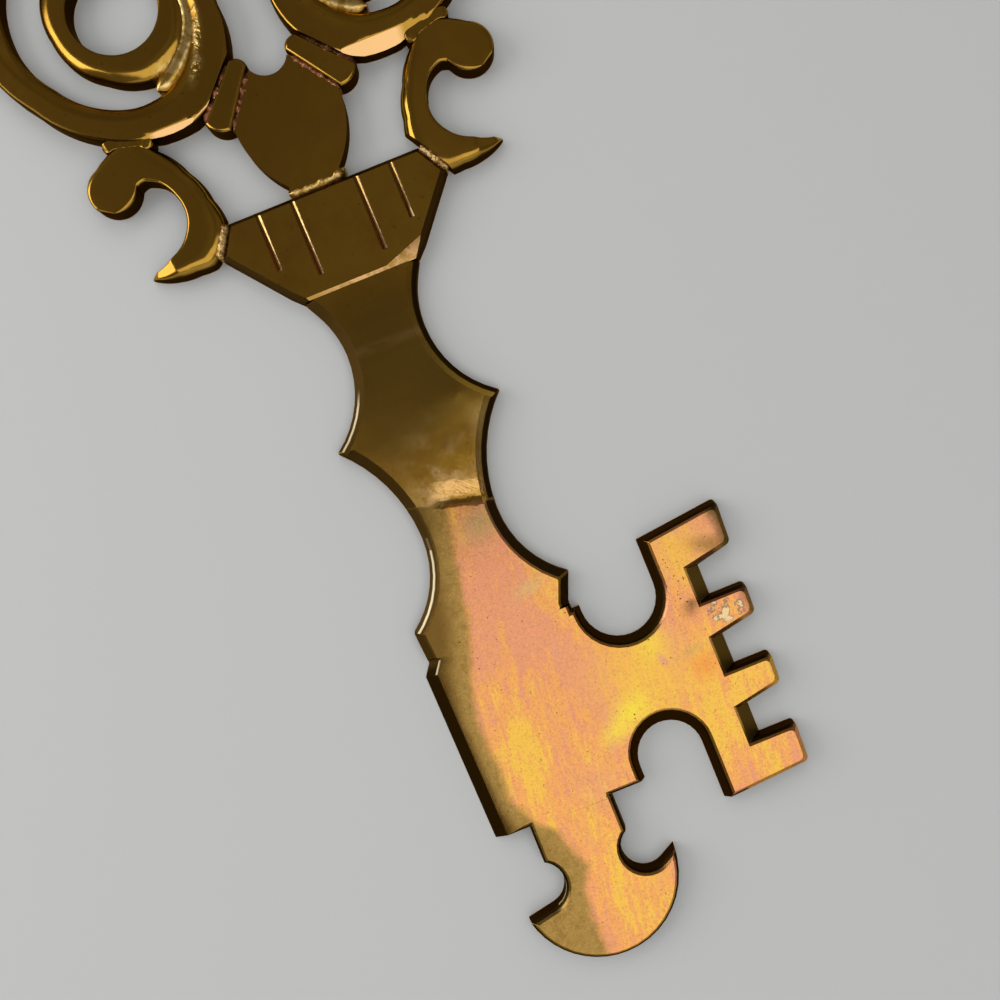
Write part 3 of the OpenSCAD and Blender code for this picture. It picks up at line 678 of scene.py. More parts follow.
@dataclass(frozen=True)
class StemWalls:
    """Walls, chamfers and grooves of the stem, darkened with painted shade, with painted highlights on
    some of them.

    A Pair holds the two values between which its share goes from 0 to 1.
    """

    low_wall: Pair = (0.86, 0.72)
    high_wall: Pair = (0.60, 0.42)
    high_chamfer: Pair = (0.93, 0.80)
    slope: Pair = (0.40, 0.58)
    to_left: Pair = (-0.30, -0.45)
    left_of_middle: Pair = (0.0, -1.0)
    left_above: Pair = (-242.0, -240.0)
    shank_below: Pair = (-138.6, -139.4)
    bare_depth: Pair = (-3.5, -3.8)
    bare_side: Pair = (-0.30, -0.10)
    dark_depth: Pair = (-3.6, -3.3)
    worn_depth: Pair = (-4.3, -4.6)
    bit_from: Pair = (45.0, 46.5)
    tooth_ends: Pair = (60.0, 61.0)
    roots_from: Pair = (46.0, 47.0)
    roots_to: Pair = (62.5, 62.0)
    fan_middle: float = 1.2
    fan_half: Pair = (20.6, 20.4)
    outer_rays: Pair = (12.0, 13.0)
    outer_rays_less: float = -4.6
    ray_ends: Pair = (-134.4, -133.9)
    ray_tops: Pair = (-110.0, -111.9)
    glint_inner: Pair = (-3.1, -3.3)
    glint_outer: Pair = (-3.9, -3.6)
    glint_below: Pair = (-165.0, -171.0)
    crease_above: Pair = (-141.0, -140.0)
    crease_lit: Pair = (-24.0, 2.0)
    # Painted shade of the walls, lighter above the film and on left-facing walls, and painted light on
    # the roots that face the light.
    high_wall_shade: Colour = (0.085, 0.046, 0.012)
    left_wall_shade: Colour = (0.10, 0.055, 0.014)
    root_wall_light: Colour = (0.20, 0.125, 0.035)
    # Painted shade and painted highlight of the ray flanks, and the painted highlight over the left
    # spike.
    flank_shade: Colour = (0.12, 0.045, 0.015)
    glint_tone: Colour = (1.0, 0.86, 0.55)

    def share(self, on: Ground) -> bpy.types.NodeSocket:
        """Walls and chamfers, which take the painted shade, less the chamfers at the bit and near the
        front, which keep the front's tone.

        Args:
            on: The places on the stem.

        Returns:
            The share.
        """
        g = on.g
        facing, side, up = g.facing(), g.normal("X"), g.normal("Z")
        ends = g.all_of(g.step(side, 0.30, 0.40), g.step(on.x, *self.tooth_ends))
        under = g.all_of(g.most_of(ends, g.step(up, -0.30, -0.40)), g.step(on.x, *self.bit_from))
        worn = g.most_of(under, g.step(on.deep, *self.worn_depth))
        worn = g.all_of(g.step(facing, *self.slope), worn, 0.85)
        low = g.all_of(g.step(facing, *self.low_wall), g.rest_of(worn))
        bare = g.all_of(g.step(on.z, *self.shank_below), g.step(on.deep, *self.bare_depth))
        bare = g.all_of(bare, g.step(side, *self.bare_side))
        chamfer = g.all_of(g.step(facing, *self.high_chamfer), g.rest_of(bare), on.above)
        return g.most_of(g.mix(on.above, low, g.step(facing, *self.high_wall)), chamfer)

    def tone(self, on: Ground) -> bpy.types.NodeSocket:
        """The painted shade of walls and chamfers: lighter above the film, lighter still on left-facing
        walls above the blade, and lightest on the right-facing walls of the bit's roots, which are
        painted as lit.

        Args:
            on: The places on the stem.

        Returns:
            The colour.
        """
        g = on.g
        facing, side = g.facing(), g.normal("X")
        rim = g.all_of(g.step(on.z, *self.shank_below), g.step(on.deep, *self.dark_depth))
        high = g.all_of(on.above, g.step(facing, *self.slope), g.rest_of(rim))
        tone = g.mix(high, UMBER, self.high_wall_shade)
        left = g.all_of(g.step(side, *self.to_left), g.step(facing, 0.50, 0.62))
        left = g.all_of(left, g.step(on.x, *self.left_of_middle), g.step(on.z, *self.left_above))
        tone = g.mix(left, tone, self.left_wall_shade)
        roots = g.all_of(g.step(on.x, *self.roots_from), g.step(on.x, *self.roots_to))
        return g.mix(g.all_of(roots, g.step(side, 0.34, 0.42), 0.9), tone, self.root_wall_light)

    def ray_flanks(self, on: Ground) -> tuple[object, object]:
        """Where the flanks of the fan's ray grooves are, and their tones: a painted highlight on one
        side, painted shade on the other.

        Args:
            on: The places on the stem.

        Returns:
            The share of the flanks and their colour.
        """
        g = on.g
        side = g.normal("X")
        off = g.off(on.x, self.fan_middle)
        ends = g.sum_of(on.z, g.all_of(g.step(off, *self.outer_rays), self.outer_rays_less))
        rays = g.all_of(g.step(off, *self.fan_half), g.step(ends, *self.ray_ends))
        rays = g.all_of(rays, g.step(on.z, *self.ray_tops))
        rays = g.all_of(rays, g.step(g.off(side, 0.0), 0.02, 0.06), g.step(g.facing(), 0.3, 0.5))
        return rays, g.mix(g.step(side, 0.02, -0.02), self.flank_shade, SCORED_HIGHLIGHT)

    def glint(self, on: Ground) -> bpy.types.NodeSocket:
        """The painted highlight on the chamfer over the left spike.

        Args:
            on: The places on the stem.

        Returns:
            The share of the line.
        """
        g = on.g
        line = g.all_of(g.step(on.deep, *self.glint_inner), g.step(on.deep, *self.glint_outer))
        left = g.all_of(g.step(g.normal("X"), *self.to_left), g.step(on.x, *self.left_of_middle))
        return g.all_of(line, left, g.step(g.normal("Z"), 0.02, 0.10), g.step(on.z, *self.glint_below))

    def crease(self, on: Ground) -> bpy.types.NodeSocket:
        """The freshly filed flats at the fan's crease, uneven towards the left.

        Args:
            on: The places on the stem.

        Returns:
            The share of filed metal.
        """
        g = on.g
        flats = g.all_of(g.step(g.normal("Z"), -0.18, -0.24), g.step(g.facing(), 0.90, 0.92))
        lit = g.all_of(g.step(g.noise(0.35, 4, 0.7), 0.22, 0.60), g.step(on.x, *self.crease_lit))
        return g.all_of(flats, lit, g.step(on.z, *self.crease_above))

    def over(self, on: Ground, colour: object) -> tuple[object, object]:
        """Mixes all of them over a colour.

        Args:
            on: The places on the stem.
            colour: The colour of the front.

        Returns:
            The share that they take and the mixed colour.
        """
        g = on.g
        share, tone = self.share(on), self.tone(on)
        rays, flank = self.ray_flanks(on)
        for mask, own in ((rays, flank), (self.glint(on), self.glint_tone), (self.crease(on), FILED)):
            share, tone = g.most_of(share, mask), g.mix(mask, tone, own)
        return share, g.mix(share, colour, tone)


@dataclass(frozen=True)
class HeatFilm:
    """The tints that heat left on blade, bit and tip, and the painted shade of the olive rim along the
    left edge.
    """

    # The edge of the rim's painted shade along the left of blade and tip: rows of z and x.
    rim: Table = (
        (-330, -4.6), (-317, -5.5), (-309.5, -4.2), (-304.4, -1.3), (-293, -5.6), (-289, -9.5),
        (-281.5, -13.5), (-258, -14.0), (-244, -10.4), (-232, -6.1), (-216.4, -3.6), (-204.8, -0.8),
    )
    patches: tuple[Patch, ...] = (
        Patch(32.1, -263.0, 9.0, 10.0, YELLOW, 0.75, 1.3, 20),
        Patch(24.7, -271.0, 2.6, 4.5, GOLD, 0.95, 1.4, -25),
        Patch(19.0, -274.4, 2.0, 3.0, GOLD, 0.7, 1.6, -25),
        Patch(36.7, -256.4, 2.6, 4.5, GOLD, 0.5),
        Patch(11.8, -249.0, 1.6, 3.0, ROSE, 0.7, 0.4, 6),
        Patch(51.5, -236.0, 7.0, 7.0, YELLOW, 0.6),
        Patch(64.8, -228.8, 2.4, 2.6, BURNT, 0.85),
        Patch(62.0, -238.6, 2.2, 1.8, SHADE, 0.7, 3.0, 22),
        Patch(66.5, -291.0, 2.6, 2.0, COPPER, 0.8, 0.75),
        # Painted shadow along the top edge of the second tooth.
        Patch(49.6, -251.6, 1.4, 2.0, UMBER, 0.6, 1.4, -20),
        Patch(45.5, -262.0, 0.7, 1.4, SAGE, 0.7, 2.6, -10),
        Patch(52.6, -231.0, 0.7, 1.2, ROSE, 0.7, 1.8),
        # Painted shadow, darker, at the same top edge of the second tooth.
        Patch(50.2, -250.4, 0.6, 1.3, UMBER, 0.75, 1.4),
        Patch(47.2, -266.9, 3.0, 3.5, RUST, 0.8),
        Patch(37.5, -261.5, 1.6, 1.6, ROSE, 0.85, 0.5, -20),
        Patch(9.0, -286.0, 5.0, 6.0, ROSE, 0.35),
        Patch(23.0, -283.0, 3.0, 4.0, ROSE, 0.7, 0.5),
        Patch(-1.5, -219.0, 4.0, 4.5, PINK, 0.8, 0.6, 10),
        Patch(12.0, -230.5, 1.6, 2.4, BEIGE, 0.85, 2.0, -12),
        Patch(6.5, -210.0, 3.6, 4.0, SAGE, 0.8, 1.5, -25),
        Patch(-1.5, -246.0, 2.0, 4.0, PINK, 0.6, 0.5, 6),
        Patch(-3.0, -324.0, 2.0, 4.0, PINK, 0.5),
        Patch(14.5, -311.5, 3.0, 3.5, YELLOW, 0.6),
        Patch(3.0, -297.0, 1.6, 4.0, YELLOW, 0.5, 0.6),
    )
    chipped_tooth: Pair = (58.0, -255.4)
    tooth_across: float = 1.9
    tooth_turn: float = 12.0
    chip_edge: Colour = (0.24, 0.19, 0.13)
    bare: Colour = (0.86, 0.62, 0.32)
    end_tone: Colour = (0.13, 0.085, 0.028)
    end_from: Pair = (62.6, 66.2)
    end_above: Pair = (-285.0, -245.0)
    # The rim's edge and its painted shade, darker far inside it above the neck.
    rim_edge: Pair = (2.2, -1.4)
    deep_edge: Pair = (-1.5, -8.0)
    deep_above: Pair = (-306.0, -288.0)
    deep_tone: Colour = (0.15, 0.08, 0.016)

    def tints(self, g: Graph) -> bpy.types.NodeSocket:
        """The film's streaks from pink to yellow, with its patches, grain and drawn lines.

        Args:
            g: The material.

        Returns:
            The colour.
        """
        streaks = g.noise(0.5, 7, 0.74, g.placed((1.5, 1, 0.26), 7), 0.4)
        broad = g.noise(0.05, 2, 0.5, g.placed((1.4, 1, 0.55), 8))
        grain = g.noise(1.9, 5, 0.8)
        tone = g.sum_of(g.all_of(streaks, 0.45), g.all_of(broad, 0.4), g.all_of(grain, 0.2))
        colour = g.ramp(tone, [(0.475, PINK), (0.505, ORANGE), (0.54, ORANGE), (0.585, YELLOW)])
        for patch in self.patches:
            colour = patch.over(g, colour)
        colour = g.mix(g.all_of(g.step(grain, 0.50, 0.34), 0.55), colour, OLIVE)
        colour = g.mix(g.all_of(g.step(grain, 0.52, 0.66), 0.40), colour, YELLOW)
        drawn = g.noise(1.6, 3, 0.65, g.placed((4.0, 1, 0.10), 9))
        colour = g.mix(g.all_of(g.step(drawn, 0.56, 0.68), 0.45), colour, BEIGE)
        colour = g.mix(g.all_of(g.step(drawn, 0.42, 0.32), 0.40), colour, SIENNA)
        lines = g.noise(1.3, 3, 0.6, g.placed((3.0, 1, 0.12), -28))
        return g.mix(g.all_of(g.step(lines, 0.60, 0.70), 0.25), colour, YELLOW)

    def chipped(self, g: Graph, colour: object) -> bpy.types.NodeSocket:
        """The second tooth, where the film has flaked off to bare pale metal with grey edges.

        Args:
            g: The material.
            colour: The film's colour.

        Returns:
            The film with its chipped tooth.
        """
        form = (self.tooth_across, self.tooth_turn)
        middle = g.spot(*self.chipped_tooth, 1.8, 2.4, *form)
        near = g.spot(*self.chipped_tooth, 3.2, 0.8, *form)
        flakes = g.sum_of(g.noise(0.36, 4, 0.6), g.all_of(middle, 0.22))
        colour = g.mix(g.all_of(g.step(flakes, 0.57, 0.59), near, 0.8), colour, self.chip_edge)
        return g.mix(g.all_of(g.step(flakes, 0.635, 0.65), near), colour, self.bare)

    def rim_shade(self, on: Ground, depth: object) -> bpy.types.NodeSocket:
        """The olive painted shade of the rim, darker far inside it.

        Args:
            on: The places on the stem.
            depth: How far a place lies inside the rim's edge.

        Returns:
            The colour.
        """
        g = on.g
        tone = g.mix(g.all_of(g.step(g.noise(0.45, 5, 0.75), 0.44, 0.66), 0.55), OLIVE, SHADE)
        tone = g.mix(g.all_of(g.step(g.noise(1.9, 5, 0.8), 0.50, 0.64), 0.30), tone, BEIGE)
        deep = g.all_of(g.step(depth, *self.deep_edge), g.step(on.z, *self.deep_above), 0.85)
        return g.mix(deep, tone, self.deep_tone)

    def colour(self, on: Ground) -> bpy.types.NodeSocket:
        """The film with its brown tooth ends and the painted shade of the rim along the left edge.

        Args:
            on: The places on the stem.

        Returns:
            The colour.
        """
        g = on.g
        ends = g.step(g.sum_of(on.x, g.all_of(g.noise(0.5, 4, 0.7), 2.4)), *self.end_from)
        ends = g.all_of(ends, g.step(on.z, *self.end_above), 0.9)
        film = g.mix(ends, self.chipped(g, self.tints(g)), self.end_tone)
        depth = g.math("SUBTRACT", on.x, g.profile(on.z, self.rim))
        wobble = g.all_of(g.math("SUBTRACT", g.noise(0.3, 4, 0.7), 0.5), 3.6)
        rim = g.step(g.sum_of(depth, wobble), *self.rim_edge)
        return g.mix(rim, film, self.rim_shade(on, depth))


@dataclass(frozen=True)
class StemBrass:
    """The brass from the fan to the tip: patinated above, tinted pink to yellow by heat below."""

    name: str = "tinted_brass"
    rough: float = 0.22
    band_x: float = -2.2
    band_z: float = -202.4
    band_turn: float = 15.0
    rays: Table = ((-7.8, -133.6), (10.2, -133.6), (-17.6, -128.8), (20.0, -126.0))
    ray_fade: float = 0.6
    ray_shift: float = 0.5
    stripe_z: float = -156.8
    nick: Pair = (20.3, -239.0)
    neck_seam: Pair = (9.5, -289.9)
    pits_at: Pair = (47.0, -246.0)
    shade_at: Pair = (1.0, -166.0)
    swell_at: Pair = (14.0, -176.0)
    edge_lean: float = -0.12
    edge_from: Pair = (34.0, 40.0)
    edge_below: Pair = (-178.0, -184.0)
    # A painted highlight along the right edge, painted shade over the shank and the chatter band's
    # painted highlight.
    edge_highlight: Colour = (0.80, 0.56, 0.20)
    shaded_tone: Colour = (0.30, 0.185, 0.036)
    chatter_highlight: Colour = (0.92, 0.55, 0.20)

    def scored(self, on: Ground, shift: float, half: float, soft: float) -> bpy.types.NodeSocket:
        """Thin lines along the four rays of the fan.

        Args:
            on: The places on the stem.
            shift: How far the lines lie to the right of the rays.
            half: Half of a line's width.
            soft: How far each side fades in and out.

        Returns:
            The share of the lines.
        """
        g = on.g
        lines = []
        for place, end in self.rays:
            line = g.step(g.off(on.x, place + shift), half + soft, half - soft)
            lines.append(g.all_of(line, g.step(on.z, end - self.ray_fade, end + self.ray_fade)))
        return g.most_of(*lines)

    def upper(self, on: Ground) -> bpy.types.NodeSocket:
        """The patinated front above the film, with its mottled foot, a painted shade over the shank and
        a painted highlight along its right edge.

        Args:
            on: The places on the stem.

        Returns:
            The colour.
        """
        g = on.g
        tone = Patina().face(g)
        mottle = g.mix(g.step(g.noise(0.16, 4, 0.65), 0.42, 0.66), tone, BEIGE)
        tone = g.mix(g.all_of(g.spot(*self.shade_at, 24.0, 10.0, 0.8), 0.85), tone, self.shaded_tone)
        tone = g.mix(g.all_of(g.step(on.band, 30.0, 5.0), g.step(on.reach, -14.0, 2.0)), tone, mottle)
        stripe = g.step(g.off(on.z, self.stripe_z), 2.2, 0.2)
        streaks = g.step(g.noise(0.3, 4, 0.7, g.placed((0.4, 1, 2.0))), 0.34, 0.60)
        tone = g.mix(g.all_of(stripe, streaks, 0.30), tone, BEIGE)
        outer = g.step(g.sum_of(on.x, g.all_of(on.z, self.edge_lean)), *self.edge_from)
        return g.mix(g.all_of(outer, g.step(on.z, *self.edge_below), 0.7), tone, self.edge_highlight)

    def marked(self, on: Ground, colour: object) -> bpy.types.NodeSocket:
        """Adds the scored rays with their painted highlight and shade, the chatter band painted as a
        highlight, and the pits to the front.

        Args:
            on: The places on the stem.
            colour: The colour of the front.

        Returns:
            The colour with its marks.
        """
        g = on.g
        uneven = g.step(g.noise(0.6, 4, 0.7), 0.30, 0.58)
        # Painted shade on the left of each ray and a painted highlight on its right.
        colour = g.mix(g.all_of(self.scored(on, -self.ray_shift, 0.2, 0.3), 0.8), colour, SCORED_SHADE)
        colour = g.mix(g.all_of(self.scored(on, self.ray_shift, 0.2, 0.3), uneven), colour, SCORED_HIGHLIGHT)
        # The chatter band, painted bright as a highlight over its torn marks.
        bright = g.all_of(g.step(on.band, 2.0, 3.2), g.step(on.band, 10.0, 6.0))
        torn = g.step(g.noise(0.7, 4, 0.7, g.placed((1, 1, 3), 40)), 0.30, 0.60)
        bright = g.all_of(bright, g.step(on.reach, -3.0, 3.0), torn, 0.9)
        colour = g.mix(bright, colour, self.chatter_highlight)
        pits = g.math("SUBTRACT", g.noise(1.3, 1, 0.4), g.all_of(g.spot(*self.pits_at, 7.0, 6.0), 0.10))
        return g.mix(g.all_of(g.step(pits, 0.228, 0.205), 0.8), colour, UMBER)

    def relief(self, on: Ground) -> bpy.types.NodeSocket:
        """The normal: waves, the chatter's groove, the scored rays, a swell, scratches and grain.

        Args:
            on: The places on the stem.

        Returns:
            The normal.
        """
        g = on.g
        groove = g.rest_of(g.most_of(g.step(on.band, 2.0, 7.0), g.step(on.band, 2.0, -0.4)))
        groove = g.all_of(groove, g.step(on.reach, -3.0, 4.0))
        normal = g.bump(groove, -0.42, g.bump(g.noise(0.10, 2, 0.4), 0.10))
        normal = g.bump(self.scored(on, 0.0, 0.1, 0.9), -0.5, normal)
        normal = g.bump(g.spot(*self.swell_at, 1.0, 13.0), 0.55, normal)
        hatch = g.noise(1.2, 2, 0.5, g.placed((3.0, 1, 0.3), 50))
        normal = g.bump(g.all_of(hatch, groove), 0.05, normal)
        scratches = g.noise(1.0, 3, 0.65, g.placed((4.0, 1, 0.16), 6))
        return g.bump(g.noise(2.4, 4, 0.75), 0.012, g.bump(scratches, 0.014, normal))

    def material(self) -> bpy.types.Material:
        """Builds the node material.

        Returns:
            The material.
        """
        g = Graph(self.name)
        on = Ground.under(g, self.band_x, self.band_z, self.band_turn)
        colour = self.marked(on, g.mix(on.above, HeatFilm().colour(on), self.upper(on)))
        walls, colour = StemWalls().over(on, colour)
        # Painted shade: a dark line in the nick.
        colour = g.mix(g.all_of(g.spot(*self.nick, 0.12, 0.12, 18.0), 0.85), colour, UMBER)
        colour = g.mix(g.all_of(g.spot(*self.neck_seam, 0.16, 0.16, 45.0, 2.0), 0.5), colour, OLIVE)
        rough = g.sum_of(g.all_of(walls, 0.22), self.rough)
        back = CastBack()
        return g.metal(back.over(g, colour), back.roughened(g, rough), self.relief(on))


@dataclass(frozen=True)
class RoughBraze:
    """Braze that was never filed: reddish in the grooves, brighter where it was touched."""

    name: str = "rough_braze"
    dull: Colour = (0.30, 0.12, 0.06)
    bright: Colour = (0.85, 0.50, 0.22)
    bright_from: float = 0.56
    rough: float = 0.40
    relief: float = 0.30
    grain: float = 0.9

    def material(self) -> bpy.types.Material:
        """Builds the node material.

        Returns:
            The material.
        """
        g = Graph(self.name)
        lumps = g.noise(self.grain, 4, 0.65)
        colour = g.mix(g.step(lumps, self.bright_from, self.bright_from + 0.08), self.dull, self.bright)
        normal = g.bump(g.noise(1.5 * self.grain, 4, 0.7), self.relief)
        return g.metal(colour, self.rough, normal)


# Meshes


@dataclass
class Piece:
    """One mesh of the key, in place, with what it stands for and its finish."""

    name: str
    mesh: bmesh.types.BMesh
    finish: bpy.types.Material
    slot: Slot
    stands_for: tuple[str, ...] = ()
    sharp: float = 32.0

    def place(self) -> bpy.types.Object:
        """Turns the mesh into an object that rides the key.

        Returns:
            The new object.
        """
        bm = self.mesh
        bmesh.ops.recalc_face_normals(bm, faces=bm.faces)
        data = bpy.data.meshes.new(self.name)
        bm.to_mesh(data)
        bm.free()
        data.shade_smooth()
        data.set_sharp_from_angle(angle=math.radians(self.sharp))
        data.materials.append(self.finish)
        made = bpy.data.objects.new(self.name, data)
        bpy.context.scene.collection.objects.link(made)
        even = made.modifiers.new("even_shading", "WEIGHTED_NORMAL")
        even.keep_sharp = True
        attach(made, BODY)
        if self.stands_for:
            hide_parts(*self.stands_for)
        LOG.info("%s: %d faces", self.name, len(data.polygons))
        return made


def merged(node: str) -> bmesh.types.BMesh:
    """A merged copy of a CAD node in millimetres, with its flat faces joined.

    Args:
        node: The name of the CAD node.

    Returns:
        The copy.
    """
    bm = bmesh.new()
    bm.from_mesh(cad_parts[node].data)
    bmesh.ops.scale(bm, vec=(1 / MM,) * 3, verts=bm.verts)
    bmesh.ops.remove_doubles(bm, verts=bm.verts, dist=MERGED_WITHIN)
    flat = math.radians(FLAT_WITHIN_DEGREES)
    bmesh.ops.dissolve_limit(bm, angle_limit=flat, verts=bm.verts, edges=bm.edges)
    return bm


def whole(bm: bmesh.types.BMesh) -> list[object]:
    """All the vertices, edges and faces of a mesh."""
    return [*bm.verts, *bm.edges, *bm.faces]


def softened(
    bm: bmesh.types.BMesh,
    width: float,
    least: float = 18.0,
    segments: int = 2,
    chosen: Callable[[bmesh.types.BMEdge], bool] | None = None,
) -> None:
    """Bevels every edge that turns by more than a least angle.

    Args:
        bm: The mesh to change.
        width: Width of the bevel in millimetres.
        least: Least angle between the faces, in degrees.
        segments: Number of steps across the bevel.
        chosen: Tells which of these edges are bevelled.
    """
    edges = [
        e for e in bm.edges
        if e.is_manifold and e.calc_face_angle(0) > math.radians(least) and (chosen is None or chosen(e))
    ]
    bmesh.ops.bevel(
        bm, geom=edges, offset=width, offset_type="OFFSET", affect="EDGES", segments=segments,
        profile=0.5, material=-1, clamp_overlap=True,
    )


def to_metres(bm: bmesh.types.BMesh) -> bmesh.types.BMesh:
    """Scales a mesh from millimetres to metres and returns it."""
    bmesh.ops.scale(bm, vec=(MM,) * 3, verts=bm.verts)
    return bm


@dataclass(frozen=True)
class Station:
    """One section of a bar: where its ring of points lies and how large it is."""

    middle: Vector
    across: Vector
    rise: Vector
    flat: float = 0.0


def swept(
    ring: Sequence[Pair],
    stations: Sequence[Station],
    flat_ring: Sequence[Pair] | None = None,
) -> bmesh.types.BMesh:
    """A closed bar, extruded from its first section through all the others.

    Args:
        ring: Points of the section, as shares of its half width and of its height.
        stations: The sections in order.
        flat_ring: The section that a station with a flat share of 1 has instead.

    Returns:
        The bar in millimetres, closed at both ends.
    """
    flats = dict(zip(ring, flat_ring or ring))

    def at(station: Station, share: Pair) -> Vector:
        """Where a point of the section lies at a station."""
        u, v = (a + (b - a) * station.flat for a, b in zip(share, flats[share]))
        return station.middle + station.across * u + station.rise * v

    bm = bmesh.new()
    number = bm.verts.layers.int.new("number")
    for i, share in enumerate(ring):
        bm.verts.new(at(stations[0], share))[number] = i
    bm.verts.ensure_lookup_table()
    edges = [bm.edges.new((bm.verts[i], bm.verts[(i + 1) % len(ring)])) for i in range(len(ring))]
    bmesh.ops.edgeloop_fill(bm, edges=edges)
    for station in stations[1:]:
        grown = bmesh.ops.extrude_edge_only(bm, edges=edges)["geom"]
        edges = [e for e in grown if isinstance(e, bmesh.types.BMEdge)]
        for vert in grown:
            if isinstance(vert, bmesh.types.BMVert):
                vert.co = at(station, ring[vert[number]])
    bmesh.ops.edgeloop_fill(bm, edges=edges)
    return bm


def cut_flat(
    bm: bmesh.types.BMesh,
    point: Vector,
    outwards: Vector,
    only: Callable[[Vector], bool] | None = None,
) -> None:
    """Cuts a mesh off at a plane that stands square to the wall, and closes the cut.

    Args:
        bm: The mesh to cut.
        point: A point of the cut, in the wall's plane.
        outwards: Direction in the wall's plane of what is taken away.
        only: Tells which vertices belong to the stretch that is cut.
    """
    chosen = [v for v in bm.verts if only is None or only(v.co)]
    inside = set(chosen)
    geom = chosen + [e for e in bm.edges if inside.issuperset(e.verts)]
    geom += [f for f in bm.faces if inside.issuperset(f.verts)]
    cut = bmesh.ops.bisect_plane(
        bm, geom=geom, plane_co=on_front(point, 0.0), plane_no=Vector((outwards[0], 0.0, outwards[1])),
        clear_outer=True,
    )["geom_cut"]
    close_cut(bm, cut)


def close_cut(bm: bmesh.types.BMesh, cut: Iterable[object]) -> None:
    """Fills the openings that a cut has left, for the new parts that the cut made."""
    rim = [e for e in cut if isinstance(e, bmesh.types.BMEdge) and e.is_boundary]
    bmesh.ops.holes_fill(bm, edges=rim, sides=0)


@dataclass(frozen=True)
class Facet:
    """A flat filed on the front: a point on it, how far it leans and towards which side."""

    x: float
    depth: float
    z: float
    tilt: float
    heading: float = -90.0

    def cut(self, bm: bmesh.types.BMesh) -> None:
        """Takes away what stands in front of the flat and closes the cut.

        Args:
            bm: The mesh to cut.
        """
        lean = math.radians(self.tilt)
        side = along(self.heading) * math.sin(lean)
        cut = bmesh.ops.bisect_plane(
            bm, geom=whole(bm), plane_co=(self.x, -self.depth, self.z),
            plane_no=Vector((side[0], -math.cos(lean), side[1])), clear_outer=True,
        )["geom_cut"]
        close_cut(bm, cut)


def slab(outline: Sequence[Vector], depth: float) -> bmesh.types.BMesh:
    """A flat solid from the wall to a depth in front of it.

    Args:
        outline: Corners in the wall's plane, in millimetres.
        depth: Thickness in millimetres.

    Returns:
        The solid.
    """
    bm = bmesh.new()
    verts = [bm.verts.new(on_front(p, 0.0)) for p in outline]
    face = bm.faces.new(verts)
    front = bmesh.ops.extrude_face_region(bm, geom=[face])["geom"]
    moved = [v for v in front if isinstance(v, bmesh.types.BMVert)]
    bmesh.ops.translate(bm, vec=(0, -depth, 0), verts=moved)
    bmesh.ops.recalc_face_normals(bm, faces=bm.faces)
    return bm


def on_both_sides(bm: bmesh.types.BMesh, shift: float = 0.0) -> bmesh.types.BMesh:
    """Adds a mirrored copy on the left and moves both to the right.

    Args:
        bm: The mesh of the right side.
        shift: How far both are moved, in millimetres.

    Returns:
        The same mesh.
    """
    copy = bmesh.ops.duplicate(bm, geom=whole(bm))["geom"]
    moved = [v for v in copy if isinstance(v, bmesh.types.BMVert)]
    bmesh.ops.scale(bm, vec=(-1, 1, 1), verts=moved)
    bmesh.ops.translate(bm, vec=(shift, 0, 0), verts=bm.verts)
    return bm


def arc(centre: Vector, radius: float, start: float, end: float, steps: int) -> list[Vector]:
    """Points in even steps along a round arc, with its angles in degrees."""
    return [centre + radius * along(start + (end - start) * i / steps) for i in range(steps + 1)]


def rounded_bar(corners: int = 10, straight: float = 0.55) -> list[Pair]:
    """The section of a bead: flat at the back, with straight feet and a rounded front.

    Args:
        corners: Number of steps over the rounded front.
        straight: Share of the height that rises straight.

    Returns:
        Points from one foot to the other.
    """
    front = []
    for i in range(corners + 1):
        turn = math.pi * (1 - i / corners)
        front.append((math.cos(turn), straight + (1 - straight) * max(0.0, math.sin(turn))))
    return [(-1.0, 0.0), *front, (1.0, 0.0)]


class Shoulder(Enum):
    """Half of a cast bar's section, from its foot towards the middle of its flat top."""

    BROAD = (
        (1.0, 0.0), (1.0, 0.3), (1.0, 0.46), (0.985, 0.56), (0.955, 0.64), (0.91, 0.705), (0.85, 0.76),
        (0.74, 0.825), (0.62, 0.885), (0.49, 0.935), (0.36, 0.97), (0.23, 0.99), (0.1, 1.0),
    )
    ROUND = (
        (1.0, 0.0), (1.0, 0.25), (0.985, 0.40), (0.955, 0.51), (0.91, 0.61), (0.86, 0.69), (0.80, 0.755),
        (0.74, 0.81), (0.68, 0.855), (0.60, 0.90), (0.52, 0.935), (0.42, 0.965), (0.25, 0.99),
    )
    SQUARE = (
        (1.0, 0.0), (1.0, 0.3), (1.0, 0.6), (0.997, 0.72), (0.99, 0.80), (0.975, 0.865), (0.95, 0.92),
        (0.92, 0.955), (0.88, 0.982), (0.83, 0.995), (0.77, 1.0), (0.5, 1.0), (0.2, 1.0),
    )


def cast_bar(inner: Shoulder, outer: Shoulder) -> list[Pair]:
    """The section of a cast bar, from the foot of its inner side to the foot of its outer side."""
    return [(-u, v) for u, v in inner.value] + [(0.0, 1.0)] + list(outer.value)[::-1]


def bar_height(width: float, most: float) -> float:
    """Height of a cast bar, which is lower where the bar is narrow."""
    return min(most, 1 + 0.85 * width)


def bow_piece(
    bm: bmesh.types.BMesh,
    side: Side,
    kind: str,
    form: str,
    finish: bpy.types.Material,
) -> Piece:
    """A piece of the bow, which is drawn on the right and mirrored for the left.

    Args:
        bm: The mesh of the right side, in millimetres.
        side: The side that the piece is on.
        kind: The end of the CAD node's name.
        form: The last word of the piece's name.
        finish: The material.

    Returns:
        The piece.
    """
    bmesh.ops.scale(bm, vec=(side.value, 1, 1), verts=bm.verts)
    node = f"{side.word}_{kind}"
    return Piece(f"{node}_{form}", to_metres(bm), finish, Slot.DARK, (node,))


# The bow


